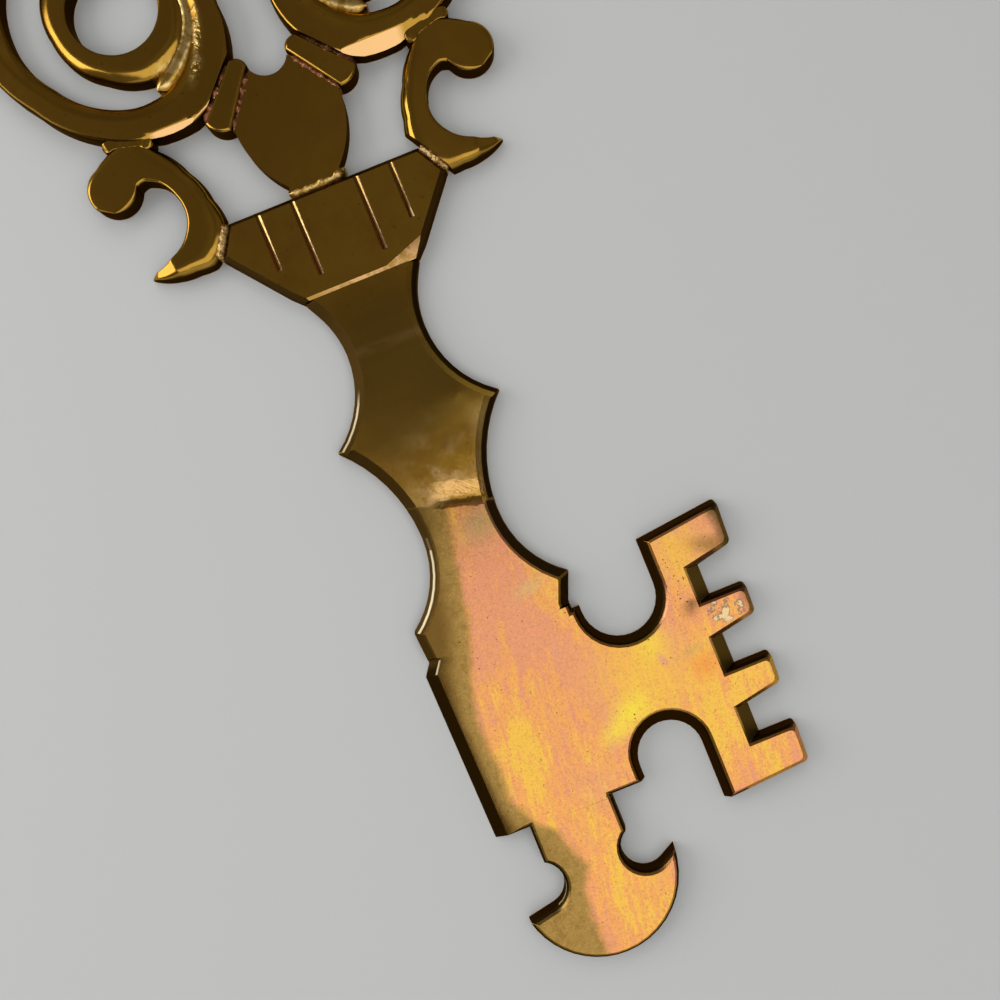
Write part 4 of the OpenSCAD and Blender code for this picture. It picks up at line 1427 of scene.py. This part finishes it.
@dataclass
class Seams:
    """The slanted seams of the bow's neck, shared by the pieces on either side of them."""

    vase_x: float = 14.8
    vase_z: float = -90.5
    seam_angle: float = 55.0
    volute_seam_angle: float = 48.0
    braze_t: float = 0.8
    eye: Vector = field(default_factory=lambda: Vector((32.82, -48.57)))
    seam_reach: float = 32.6
    seat: Vector = field(default_factory=lambda: Vector((42.275, -82.448)))
    seat_angle: float = 15.6

    def point(self, s: float, t: float) -> Vector:
        """A point s along the seam between vase and collar, and t away from it, on the right side."""
        turn = 180 - self.seam_angle
        return Vector((self.vase_x, self.vase_z)) + s * along(turn) + t * right_of(turn)

    def collar_end(self, s: float) -> float:
        """How far the volute's seam lies from the vase's seam, s along it.

        Args:
            s: The way along the vase's seam.

        Returns:
            The distance in millimetres.
        """
        normal = -right_of(180 - self.volute_seam_angle)
        gap = (self.eye + self.seam_reach * normal - self.point(s, 0.0)).dot(normal)
        return gap / right_of(180 - self.seam_angle).dot(normal)

    def collar_side(self, s: float) -> float:
        """How far the collar's own end lies from the vase's seam, s along it."""
        lean = math.cos(math.radians(self.seam_angle - self.volute_seam_angle))
        return self.collar_end(s) - self.braze_t / lean


@dataclass
class Volute:
    """A tapered bar wound inwards round its eye."""

    seams: Seams
    side: Side
    radius: float = 35.5
    eye_r: float = 12.1
    thick: float = 6.0
    coil_gap: float = 0.4
    start: float = 36.0
    end: float = 792.0
    step: float = 4.5
    turn_limits_from: float = 400.0
    second_turn: float = 385.0
    second_fade: float = 40.0
    keystone_x: float = 6.8
    filed_z: float = -81.3
    filed_tilt: float = 30.0
    left_filed_less: float = 2.0
    outer: Table = (
        (30, 1.369), (60, 1.324), (90, 1.256), (120, 1.172), (150, 1.093), (180, 1.048), (210, 0.961),
        (240, 0.977), (262, 1.011), (284, 1.042), (292, 1.031), (300, 0.997), (318, 0.918), (345, 0.755),
        (390, 0.676), (420, 0.625), (450, 0.586), (490, 0.589), (545, 0.521), (600, 0.524), (636, 0.592),
    )
    inner: Table = (
        (30, 1.07), (60, 1.028), (90, 0.963), (120, 0.896), (150, 0.862), (180, 0.8), (210, 0.727),
        (240, 0.724), (262, 0.732), (284, 0.71), (292, 0.682), (300, 0.654), (318, 0.586), (345, 0.53),
        (390, 0.439), (420, 0.389), (450, 0.349), (490, 0.315),
    )

    def inner_edge(self, angle: float) -> float:
        """Radius of the bar's inner edge."""
        return max(self.eye_r, self.radius * looked_up(self.inner, angle))

    def outer_edge(self, angle: float) -> float:
        """Radius of the bar's outer edge, which the turn outside it limits.

        Args:
            angle: Degrees along the bar.

        Returns:
            The radius in millimetres.
        """
        edge = self.radius * looked_up(self.outer, angle)
        if angle < self.turn_limits_from:
            return edge
        return min(edge, self.inner_edge(angle - 360) - self.coil_gap)

    def stations(self) -> list[Station]:
        """The sections from the crest to the last turn round the eye.

        Returns:
            The sections in order.
        """
        places = []
        count = round((self.end - self.start) / self.step)
        for i in range(count + 1):
            angle = self.start + i * self.step
            out = Vector((-along(angle)[0], along(angle)[1]))
            high, low = self.outer_edge(angle), self.inner_edge(angle)
            middle = on_front(self.seams.eye + out * (high + low) / 2, 0.0)
            rise = Vector((0, -bar_height(high - low, self.thick), 0))
            turned = max(0.0, min(1.0, (angle - self.second_turn) / self.second_fade))
            places.append(Station(middle, on_front(out * (high - low) / 2, 0.0), rise, turned))
        return places

    def build(self, finish: bpy.types.Material) -> Piece:
        """Winds the bar and trims it where it meets its neighbours.

        Args:
            finish: The material.

        Returns:
            The piece.
        """
        first = cast_bar(Shoulder.BROAD, Shoulder.SQUARE)
        bm = swept(first, self.stations(), cast_bar(Shoulder.SQUARE, Shoulder.BROAD))
        seams = self.seams
        cut_flat(bm, seams.point(0.0, seams.collar_end(0.0)), -right_of(180 - seams.volute_seam_angle))
        cut_flat(bm, Vector((self.keystone_x, 0.0)), Vector((-1.0, 0.0)), lambda co: co.z > seams.eye[1])
        cut_flat(bm, seams.seat, right_of(seams.seat_angle))
        filed_z = self.filed_z if self.side is Side.RIGHT else self.filed_z - self.left_filed_less
        Facet(0.0, self.thick, filed_z, self.filed_tilt).cut(bm)
        return bow_piece(bm, self.side, "volute", "bar", finish)


@dataclass
class CScroll:
    """A C-shaped scroll with a ball at its top and a leaf at its foot."""

    seams: Seams
    side: Side
    radius: float = 17.5
    thick: float = 5.6
    least_half: float = 0.02
    ball_angle: float = 63.5
    ball_reach: float = 12.4
    ball_r: float = 6.8
    end: float = 290.0
    step: float = 2.5
    flat_until: float = 128.0
    flat_fade: float = 26.0
    flat_most: float = 0.85
    middle: Vector = field(default_factory=lambda: Vector((45.028, -103.461)))
    shank_set: float = 1.2
    fan_corner: Vector = field(default_factory=lambda: Vector((32.2, -120.2)))
    fan_end_w: float = 5.0
    fan_end_h: float = 8.5
    outer: Table = (
        (30, 0.971), (60, 1.069), (76, 1.143), (95, 1.251), (108, 1.194), (117, 1.097), (149, 0.966),
        (180, 1.006), (200, 1.15), (212, 1.22), (224, 1.23), (236, 1.205), (248, 1.074), (266, 0.971),
        (283, 0.897), (290, 0.869),
    )
    inner: Table = (
        (30, 0.8), (72, 0.549), (92, 0.486), (107, 0.571), (129, 0.577), (162, 0.56), (190, 0.583),
        (221, 0.606), (256, 0.663), (284, 0.76), (290, 0.84),
    )

    def edges(self, angle: float) -> Pair:
        """Radii of the two edges, with the ball at the top.

        Args:
            angle: Degrees from +X round the scroll's middle.

        Returns:
            The outer and the inner radius.
        """
        off = self.ball_reach * math.sin(math.radians(angle - self.ball_angle))
        near = self.ball_reach * math.cos(math.radians(angle - self.ball_angle))
        chord = math.sqrt(self.ball_r ** 2 - off ** 2) if abs(off) < self.ball_r and near > 0 else 0.0
        bar_o = self.radius * looked_up(self.outer, angle)
        bar_i = self.radius * looked_up(self.inner, angle)
        if angle < self.ball_angle:
            return near + chord, near - chord
        inner = min(bar_i, near - chord) if chord > 0 else bar_i
        return max(bar_o, near + chord), inner

    def angles(self) -> list[float]:
        """Angles of the sections, close together round the ball.

        Returns:
            Degrees from +X round the scroll's middle.
        """
        span = math.degrees(math.asin(self.ball_r / self.ball_reach))
        steps_up, steps_down = 16, 14
        quarter = [math.cos(math.radians(90 * i / steps_up)) for i in range(steps_up + 1)]
        ball = [self.ball_angle - (span - 0.05) * share for share in quarter]
        ball += [self.ball_angle + span * i / steps_down for i in range(1, steps_down + 1)]
        bar = []
        angle = self.ball_angle + span + 1.5
        while angle < self.end - 1:
            bar.append(angle)
            angle += self.step
        return ball + bar + [self.end]

    def stations(self) -> list[Station]:
        """The sections from the ball to the leaf.

        Returns:
            The sections in order.
        """
        places = []
        for angle in self.angles():
            high, low = self.edges(angle)
            out = along(angle)
            half = max(self.least_half, (high - low) / 2)
            rise = Vector((0, -bar_height(high - low, self.thick), 0))
            flat = self.flat_most * max(0.0, min(1.0, (self.flat_until - angle) / self.flat_fade))
            middle = self.middle + out * (high + low) / 2
            places.append(Station(on_front(middle, 0.0), on_front(out * half, 0.0), rise, flat))
        return places

    def build(self, finish: bpy.types.Material) -> Piece:
        """Bends the bar and trims it on the volute and on the fan.

        Args:
            finish: The material.

        Returns:
            The piece.
        """
        ball = cast_bar(Shoulder.SQUARE, Shoulder.SQUARE)
        bm = swept(cast_bar(Shoulder.SQUARE, Shoulder.ROUND), self.stations(), ball)
        seams = self.seams
        down = right_of(seams.seat_angle)
        cut_flat(bm, seams.seat + seams.braze_t * down, -down)
        outwards = right_of(math.degrees(math.atan2(self.fan_end_h, -self.fan_end_w)))
        shift = Vector((self.side.value * self.shank_set, 0.0))
        cut_flat(bm, self.fan_corner + shift + seams.braze_t * outwards, -outwards)
        return bow_piece(bm, self.side, "c_scroll", "bar", finish)


@dataclass
class Vase:
    """The vase between fan and bow: flat in front, with soft edges and a saddle at its top."""

    seams: Seams
    foot_x: float = 7.1
    foot_z: float = -110.9
    foot_h: float = 1.5
    foot_flare: float = 0.7
    thick: float = 5.4
    saddle_r: float = 5.9
    saddle_z: float = -74.4
    above: float = 12.0
    spare: float = 20.0
    edge: float = 0.8

    def right_side(self) -> list[Vector]:
        """The outline from the foot up the right side to the middle of the saddle.

        Returns:
            Points in the wall's plane.
        """
        seams = self.seams
        base = self.foot_z + self.foot_h
        dx, dz = seams.vase_x - self.foot_x, seams.vase_z - base
        radius = (dx * dx + dz * dz) / (2 * dx)
        start = -math.degrees(math.asin(dz / radius))
        side = arc(Vector((seams.vase_x - radius, seams.vase_z)), radius, start, 0, 28)
        top = seams.vase_z + self.above + self.spare
        saddle = arc(Vector((0.0, self.saddle_z)), self.saddle_r, 0, -90, 16)
        flare = Vector((self.foot_x + self.foot_flare, self.foot_z))
        foot = [flare, Vector((self.foot_x, base - self.foot_h / 3))]
        shoulders = [Vector((seams.vase_x, top)), Vector((self.saddle_r, top))]
        return foot + side + shoulders + saddle

    def build(self, finish: bpy.types.Material) -> Piece:
        """Cuts the outline, trims it at the slanted seams and rounds its edges.

        Args:
            finish: The material.

        Returns:
            The piece.
        """
        right = self.right_side()
        left = [Vector((-p[0], p[1])) for p in reversed(right[:-1])]
        bm = slab(right + left, self.thick)
        seams = self.seams
        out = right_of(180 - seams.seam_angle)
        corner = seams.point(0.0, 0.0)
        cut_flat(bm, corner, out)
        cut_flat(bm, Vector((-corner[0], corner[1])), Vector((-out[0], out[1])))

        def worn(edge: bmesh.types.BMEdge) -> bool:
            """Whether an edge of the front lies clear of the seams and of the foot.

            Args:
                edge: An edge of the vase.

            Returns:
                Whether it is worn round.
            """
            low, high = (v.co for v in edge.verts)
            on_top = low.y < NEAR - self.thick and high.y < NEAR - self.thick
            at_foot = max(low.z, high.z) < self.foot_z + 0.1
            middle = (low + high) / 2
            reach = Vector((abs(middle.x), middle.z)) - corner
            return on_top and not at_foot and abs(reach.dot(out)) > 0.05

        softened(bm, self.edge, 30.0, 4, worn)
        return Piece("vase_body", to_metres(bm), finish, Slot.DARK, ("vase",))


@dataclass
class Collar:
    """A half-round collar between the vase and a volute."""

    seams: Seams
    side: Side
    length: float = 17.4
    bulge: float = 1.4
    thick: float = 6.0
    round: float = 2.4

    def bulged(self, start: Vector, end: Vector, out: float) -> list[Vector]:
        """An arc that stands out on the right of the way between its ends.

        Args:
            start: Its first point.
            end: Its last point.
            out: How far it stands out.

        Returns:
            Points from start to end.
        """
        half = (end - start).length / 2
        radius = (half * half + out * out) / (2 * out)
        way = (end - start).normalized()
        centre = (start + end) / 2 + Vector((-way[1], way[0])) * (radius - out)
        span = math.degrees(math.asin(half / radius))
        middle = math.degrees(math.atan2(-way[0], way[1]))
        return arc(centre, radius, middle - span, middle + span, 12)

    def build(self, finish: bpy.types.Material) -> Piece:
        """Cuts the outline and rounds it over.

        Args:
            finish: The material.

        Returns:
            The piece.
        """
        seams, far = self.seams, self.length
        corners = (
            seams.point(0, seams.braze_t), seams.point(0, seams.collar_side(0)),
            seams.point(far, seams.collar_side(far)), seams.point(far, seams.braze_t),
        )
        near_end = self.bulged(*corners[:2], self.bulge)
        far_end = self.bulged(*corners[2:], self.bulge)
        bm = slab(near_end + far_end, self.thick)
        softened(bm, self.round, 15.0, 7, lambda e: all(v.co.y < NEAR - self.thick for v in e.verts))
        return bow_piece(bm, self.side, "collar", "bead", finish)


@dataclass
class Bead:
    """A rough bead of braze along a seam, on the right side or on both."""

    name: str
    node: str
    path: Sequence[Vector]
    half: float = 1.0
    flare: float = 0.0
    top: float = 4.6
    lumps: float = 0.28
    mirrored: bool = True
    shift: float = 0.0
    flush: bool = False
    most: float = 6.0
    step: float = 0.3
    back: float = 0.5
    end_share: float = 0.25
    end_power: int = 14
    wave_scale: float = 0.6
    lump_scale: float = 1.3
    lumpy_from: float = 2.0

    def points(self) -> list[Vector]:
        """Evenly spaced points along a smooth curve through the path.

        Returns:
            The points in order.
        """
        path = [2 * self.path[0] - self.path[1], *self.path, 2 * self.path[-1] - self.path[-2]]
        found: list[Vector] = []
        for a, b, c, d in zip(path, path[1:], path[2:], path[3:]):
            count = max(2, round((c - b).length / self.step))
            for i in range(count):
                t = i / count
                bend = 2 * a - 5 * b + 4 * c - d + t * (3 * (b - c) + d - a)
                found.append(b + 0.5 * t * (c - a + t * bend))
        return [*found, self.path[-1]]

    def stations(self, seed: Vector) -> list[Station]:
        """The sections along the path, with an uneven width and height.

        Args:
            seed: Place in the noise that makes them uneven.

        Returns:
            The sections.
        """
        points = self.points()
        last = len(points) - 1
        places = []
        for i, point in enumerate(points):
            way = (points[min(i + 1, last)] - points[max(i - 1, 0)]).normalized()
            share = 2 * i / last - 1
            taper = max(self.end_share, 1 - abs(share) ** self.end_power)
            wave = noise.noise(Vector((point[0], point[1], 0.0)) * self.wave_scale + seed)
            half = self.half * taper * (1 + self.flare * share * share) * (1 + self.lumps * wave)
            rise = (self.top - self.back) * (1 + 0.4 * self.lumps * wave) * (0.85 + 0.15 * taper)
            across = on_front(Vector((way[1], -way[0])) * half, 0.0)
            places.append(Station(on_front(point, self.back), across, Vector((0, -rise, 0))))
        return places

    def build(self, finish: bpy.types.Material) -> Piece:
        """Draws the bead along its path and makes its front lumpy.

        Args:
            finish: The material.

        Returns:
            The piece.
        """
        seed = Vector((1.7, 0.4, 0.9)) * len(self.name)
        ring = cast_bar(Shoulder.SQUARE, Shoulder.SQUARE) if self.flush else rounded_bar()
        bm = swept(ring, self.stations(seed))
        bm.normal_update()
        for vert in bm.verts:
            if vert.co.y < -self.lumpy_from:
                lump = noise.noise(vert.co * self.lump_scale + seed)
                vert.co += vert.normal * self.lumps * 0.7 * lump
                vert.co.y = max(vert.co.y, -self.most)
        if self.mirrored:
            on_both_sides(bm, self.shift)
        return Piece(self.name, to_metres(bm), finish, Slot.BRAZE, (self.node,), sharp=60.0)


@dataclass
class Plate:
    """A flat casting whose form is right in the CAD, with its edges worn round."""

    node: str
    slot: Slot
    joints: tuple[float, ...] = ()
    facets: tuple[Facet, ...] = ()
    corner: float = 0.5
    corners_from: float = -100.0
    wear: float = 0.22
    least: float = 18.0

    def standing(self, edge: bmesh.types.BMEdge) -> bool:
        """Whether an edge is an outward corner that runs from the wall towards the front.

        Args:
            edge: An edge of the plate.

        Returns:
            Whether it stands out at a corner.
        """
        low, high = (v.co for v in edge.verts)
        outward = edge.is_convex and low.x > self.corners_from
        return outward and abs(low.y - high.y) > 0.4 * (low - high).length

    def off_joints(self, edge: bmesh.types.BMEdge) -> bool:
        """Whether an edge lies off the level joints, where nothing wears it."""
        return not any(all(abs(v.co.z - z) < 0.02 for v in edge.verts) for z in self.joints)

    def build(self, finish: bpy.types.Material) -> Piece:
        """Softens a merged copy of the CAD node.

        Args:
            finish: The material.

        Returns:
            The piece.
        """
        bm = merged(self.node)
        for facet in self.facets:
            facet.cut(bm)
        if self.corner:
            softened(bm, self.corner, 38.0, 3, self.standing)
        softened(bm, self.wear, self.least, 2, self.off_joints)
        return Piece(f"{self.node}_worn", to_metres(bm), finish, self.slot, (self.node,))


# The studio


@dataclass
class Lamp:
    """A soft lamp: a rectangle of even brightness that looks at a point."""

    name: str
    place: Vector
    target: Vector
    width: float
    height: float
    brightness: float
    glossy: bool = True

    def hang(self) -> None:
        """Adds the lamp to the scene."""
        data = bpy.data.lights.new(self.name, "AREA")
        data.shape = "RECTANGLE"
        data.size = self.width
        data.size_y = self.height
        data.energy = self.brightness * math.pi * self.width * self.height
        made = bpy.data.objects.new(self.name, data)
        made.location = self.place
        made.rotation_euler = (self.target - self.place).to_track_quat("-Z", "Y").to_euler()
        made.visible_camera = False
        made.visible_glossy = self.glossy
        bpy.context.scene.collection.objects.link(made)
        LOG.info("lamp %s", self.name)


@dataclass
class Studio:
    """The wall, the floor, the dark room in front, the lamps and the camera."""

    pale: Colour = (0.545, 0.548, 0.54)
    dark: Colour = (0.107, 0.093, 0.070)
    floor_tone: Colour = (0.7, 0.7, 0.7)
    wall_gap: float = 0.0004
    wall_half: float = 0.8
    wall_z: float = -0.1
    floor_half: float = 4.0
    floor_z: float = -1.3
    room_r: float = 1.6
    room_z: float = -0.17
    room_drift: Pair = (0.8, 1.5)
    drift_scale: float = 0.0022
    lit: float = 0.52
    seen: float = 0.85
    lens: float = 36.0
    sensor: float = 36.0
    camera_place: Vector = field(default_factory=lambda: Vector((0.0135, -0.268, -0.20644)))
    roll: float = 22.0
    lamps: tuple[Lamp, ...] = (
        Lamp("low_front", Vector((0.1, -0.8, -0.62)), Vector((0.1, 0.0, -0.62)), 1.05, 0.86, 0.93),
        Lamp("left_side", Vector((-0.66, -0.40, 0.12)), Vector((0.0, 0.0, -0.10)), 0.55, 0.7, 2.5),
        Lamp("wall_fill", Vector((0.1, -0.8, 0.7)), Vector((0.1, 0.0, 0.1)), 0.8, 0.6, 1.05, False),
    )

    def wall(self) -> None:
        """A pale panel behind the key, seen only from its front and not by the key's own back."""
        bm = bmesh.new()
        bmesh.ops.create_grid(bm, x_segments=1, y_segments=1, size=self.wall_half)
        bmesh.ops.rotate(bm, matrix=Matrix.Rotation(math.radians(90), 3, "X"), verts=bm.verts)
        bmesh.ops.translate(bm, vec=(0, self.wall_gap, self.wall_z), verts=bm.verts)
        g = Graph("wall_paint")
        clear = g.node("ShaderNodeBsdfTransparent")
        back = g.node("ShaderNodeNewGeometry").outputs["Backfacing"]
        length = g.node("ShaderNodeLightPath").outputs["Ray Length"]
        touching = g.math("LESS_THAN", length, 2 * self.wall_gap)
        paint = g.paint(self.pale, 0.9, 0.1)
        mixed = g.node("ShaderNodeMixShader")
        for socket, value in zip(mixed.inputs, (g.most_of(back, touching), paint, clear.outputs[0])):
            g.feed(socket, value)
        self.add("wall", bm, g.closed(mixed.outputs[0]))

    def floor(self) -> None:
        """A plain pale floor under the wall."""
        bm = bmesh.new()
        bmesh.ops.create_grid(bm, x_segments=1, y_segments=1, size=self.floor_half)
        bmesh.ops.translate(bm, vec=(0, 0, self.floor_z), verts=bm.verts)
        g = Graph("floor_paint")
        self.add("floor", bm, g.closed(g.paint(self.floor_tone, 0.8)))

    def room(self) -> None:
        """The dark half of the room in front of the wall, which only reflections show."""
        bm = bmesh.new()
        bmesh.ops.create_uvsphere(bm, u_segments=32, v_segments=16, radius=self.room_r)
        bmesh.ops.bisect_plane(
            bm, geom=whole(bm), plane_co=(0, 0, 0), plane_no=(0, 1, 0), clear_outer=True,
        )
        bmesh.ops.translate(bm, vec=(0, 0, self.room_z), verts=bm.verts)
        g = Graph("dark_room")
        glow = g.node("ShaderNodeEmission")
        drift = g.step(g.noise(self.drift_scale, 2, 0.5), 0.30, 0.70)
        low, high = (tuple(factor * c for c in self.dark) for factor in self.room_drift)
        g.feed(glow.inputs["Color"], g.mix(drift, low, high))
        g.feed(glow.inputs["Strength"], 1.0)
        made = self.add("dark_room", bm, g.closed(glow.outputs[0]))
        made.visible_camera = False
        made.visible_diffuse = False
        made.visible_transmission = False
        made.visible_shadow = False
        made.visible_volume_scatter = False

    def add(self, name: str, bm: bmesh.types.BMesh, material: bpy.types.Material) -> bpy.types.Object:
        """Adds a mesh that isn't part of the key.

        Args:
            name: Name of the object.
            bm: The mesh, in metres.
            material: Its material.

        Returns:
            The new object.
        """
        data = bpy.data.meshes.new(name)
        bm.to_mesh(data)
        bm.free()
        data.materials.append(material)
        made = bpy.data.objects.new(name, data)
        bpy.context.scene.collection.objects.link(made)
        return made

    def world(self) -> None:
        """A pale surround, dimmer where it only lights things."""
        world = bpy.data.worlds.new("pale_surround")
        world.use_nodes = True
        tree = world.node_tree
        tree.nodes.clear()
        rays = tree.nodes.new("ShaderNodeLightPath").outputs
        seen = rays["Is Camera Ray"]
        for kind in ("Is Glossy Ray", "Is Transmission Ray"):
            either = tree.nodes.new("ShaderNodeMath")
            either.operation = "MAXIMUM"
            tree.links.new(seen, either.inputs[0])
            tree.links.new(rays[kind], either.inputs[1])
            seen = either.outputs[0]
        strength = tree.nodes.new("ShaderNodeMapRange")
        tree.links.new(seen, strength.inputs["Value"])
        strength.inputs["To Min"].default_value = self.lit
        strength.inputs["To Max"].default_value = self.seen
        glow = tree.nodes.new("ShaderNodeBackground")
        glow.inputs["Color"].default_value = (1.0, 1.0, 1.0, 1.0)
        tree.links.new(strength.outputs[0], glow.inputs["Strength"])
        out = tree.nodes.new("ShaderNodeOutputWorld")
        tree.links.new(glow.outputs[0], out.inputs[0])
        bpy.context.scene.world = world

    def camera(self) -> None:
        """The camera, square to the wall and rolled as the photograph is."""
        data = bpy.data.cameras.new("camera")
        data.lens = self.lens
        data.sensor_width = self.sensor
        data.sensor_height = self.sensor
        data.clip_start = 0.01
        made = bpy.data.objects.new("camera", data)
        turn = math.radians(self.roll)
        right = Vector((math.cos(turn), 0.0, -math.sin(turn)))
        up = Vector((math.sin(turn), 0.0, math.cos(turn)))
        back = Vector((0.0, -1.0, 0.0))
        pose = Matrix((right, up, back)).transposed().to_4x4()
        pose.translation = self.camera_place
        made.matrix_world = pose
        bpy.context.scene.collection.objects.link(made)
        bpy.context.scene.camera = made

    def set_up(self) -> None:
        """Builds everything round the key."""
        self.camera()
        self.wall()
        self.floor()
        self.room()
        self.world()
        for lamp in self.lamps:
            lamp.hang()
        bpy.context.scene.view_settings.view_transform = "Standard"


# The braze


@dataclass
class Brazing:
    """The braze in the bow's seams, drawn on the right side."""

    seams: Seams
    touched: RoughBraze = RoughBraze(
        "touched_braze", (0.42, 0.21, 0.07), (0.95, 0.66, 0.27), bright_from=0.44, rough=0.30,
    )
    foot: RoughBraze = RoughBraze(
        "foot_braze", (0.55, 0.30, 0.06), (0.98, 0.66, 0.22), bright_from=0.40, rough=0.42, relief=0.10,
    )
    flowed: RoughBraze = RoughBraze(
        "flowed_braze", (0.62, 0.38, 0.08), (0.98, 0.70, 0.28), bright_from=0.42, rough=0.30,
        relief=0.06, grain=0.35,
    )
    vase_foot: Table = ((-7.9, -111.0), (-3.0, -111.2), (2.5, -111.1), (6.0, -110.7), (8.4, -109.9))
    seat: Table = ((36.3, -85.7), (38.5, -84.0), (42.4, -82.8), (46.2, -81.8), (48.9, -82.3))
    fan_end: Table = ((32.4, -119.9), (27.7, -111.9))
    fan_shift: float = 1.2
    coil: Table = (
        (277, 24.0), (286, 23.0), (296, 22.1), (308, 21.1), (320, 20.5), (335, 19.5), (350, 18.2),
        (372, 16.2),
    )
    outer_stops: tuple[float, ...] = (0.3, 9.0, 17.0)
    inner_stops: tuple[float, ...] = (0.1, 16.6)
    outer_set: float = 0.9

    def collar_paths(self) -> tuple[list[Vector], list[Vector]]:
        """The paths along the inner and the outer seam of a collar.

        Returns:
            The inner and the outer path.
        """
        seams = self.seams
        mid = seams.braze_t / 2
        inner = [seams.point(s, mid) for s in self.inner_stops]
        outer = [seams.point(s, seams.collar_side(s) + mid - self.outer_set) for s in self.outer_stops]
        return inner, outer

    def coil_path(self) -> list[Vector]:
        """The path between the coils of a volute."""
        outs = [(Vector((-along(angle)[0], along(angle)[1])), reach) for angle, reach in self.coil]
        return [self.seams.eye + out * reach for out, reach in outs]

    def pieces(self, groove: bpy.types.Material, smooth: bpy.types.Material) -> list[Piece]:
        """The beads of braze with their finishes.

        Args:
            groove: Finish of the reddish grooves beside the collars.
            smooth: Finish of braze that was filed flush.

        Returns:
            The pieces in order.
        """
        lit, flowed, foot = (kind.material() for kind in (self.touched, self.flowed, self.foot))
        inner, outer = self.collar_paths()
        tables = (self.vase_foot, self.seat, self.fan_end)
        vase_foot, seat, fan_end = ([Vector(point) for point in table] for table in tables)
        return [
            Bead("inner_collar_beads", "inner_collar_brazes", inner, 1.3, 0.0, 5.5, 0.3).build(groove),
            Bead("outer_collar_beads", "outer_collar_brazes", outer, 2.4, 0.0, 5.6, 0.25).build(groove),
            Bead(
                "vase_foot_bead", "vase_foot_braze", vase_foot, 1.3, 0.1, 5.5, 0.16, mirrored=False,
            ).build(foot),
            Bead(
                "c_scroll_foot_beads", "c_scroll_foot_brazes", fan_end, 1.4, 0.1, 5.3, 0.25,
                shift=self.fan_shift,
            ).build(lit),
            Bead(
                "c_scroll_top_beads", "c_scroll_top_brazes", seat, 1.35, 0.5, 5.6, 0.08, flush=True,
            ).build(smooth),
            Bead("coil_beads", "coil_brazes", self.coil_path(), 2.5, 0.0, 5.2, 0.04).build(flowed),
        ]


def main() -> None:
    """Builds the key's pieces in order, then the studio."""
    logging.basicConfig(level=logging.INFO, format="%(message)s")
    patina = Patina().material()
    stem = StemBrass().material()
    groove = RoughBraze().material()
    seams = Seams()
    Vase(seams).build(patina).place()
    for side in Side:
        Volute(seams, side).build(patina).place()
        CScroll(seams, side).build(patina).place()
        Collar(seams, side).build(patina).place()
    for bead in Brazing(seams).pieces(groove, patina):
        bead.place()
    Plate("crest", Slot.DARK).build(patina).place()
    Plate("crest_brazes", Slot.BRAZE, corner=0.0).build(groove).place()
    crease = (Facet(0.0, 5.0, -138.1, 20.0), Facet(7.5, 5.0, -138.6, 16.0, -70.0))
    slope = Facet(0.0, 5.0, -151.0, 1.6, 90.0)
    Plate("fan_plate", Slot.BRIGHT, (CREASE_Z,), crease).build(stem).place()
    Plate("shank", Slot.BRIGHT, (CREASE_Z, BLADE_Z), (slope,)).build(stem).place()
    Plate("blade", Slot.BRIGHT, (BLADE_Z, NECK_Z), corner=1.1, corners_from=46.0).build(stem).place()
    Plate("tip", Slot.BRIGHT, (NECK_Z,)).build(stem).place()
    Studio().set_up()


if __name__ == "__main__":
    main()
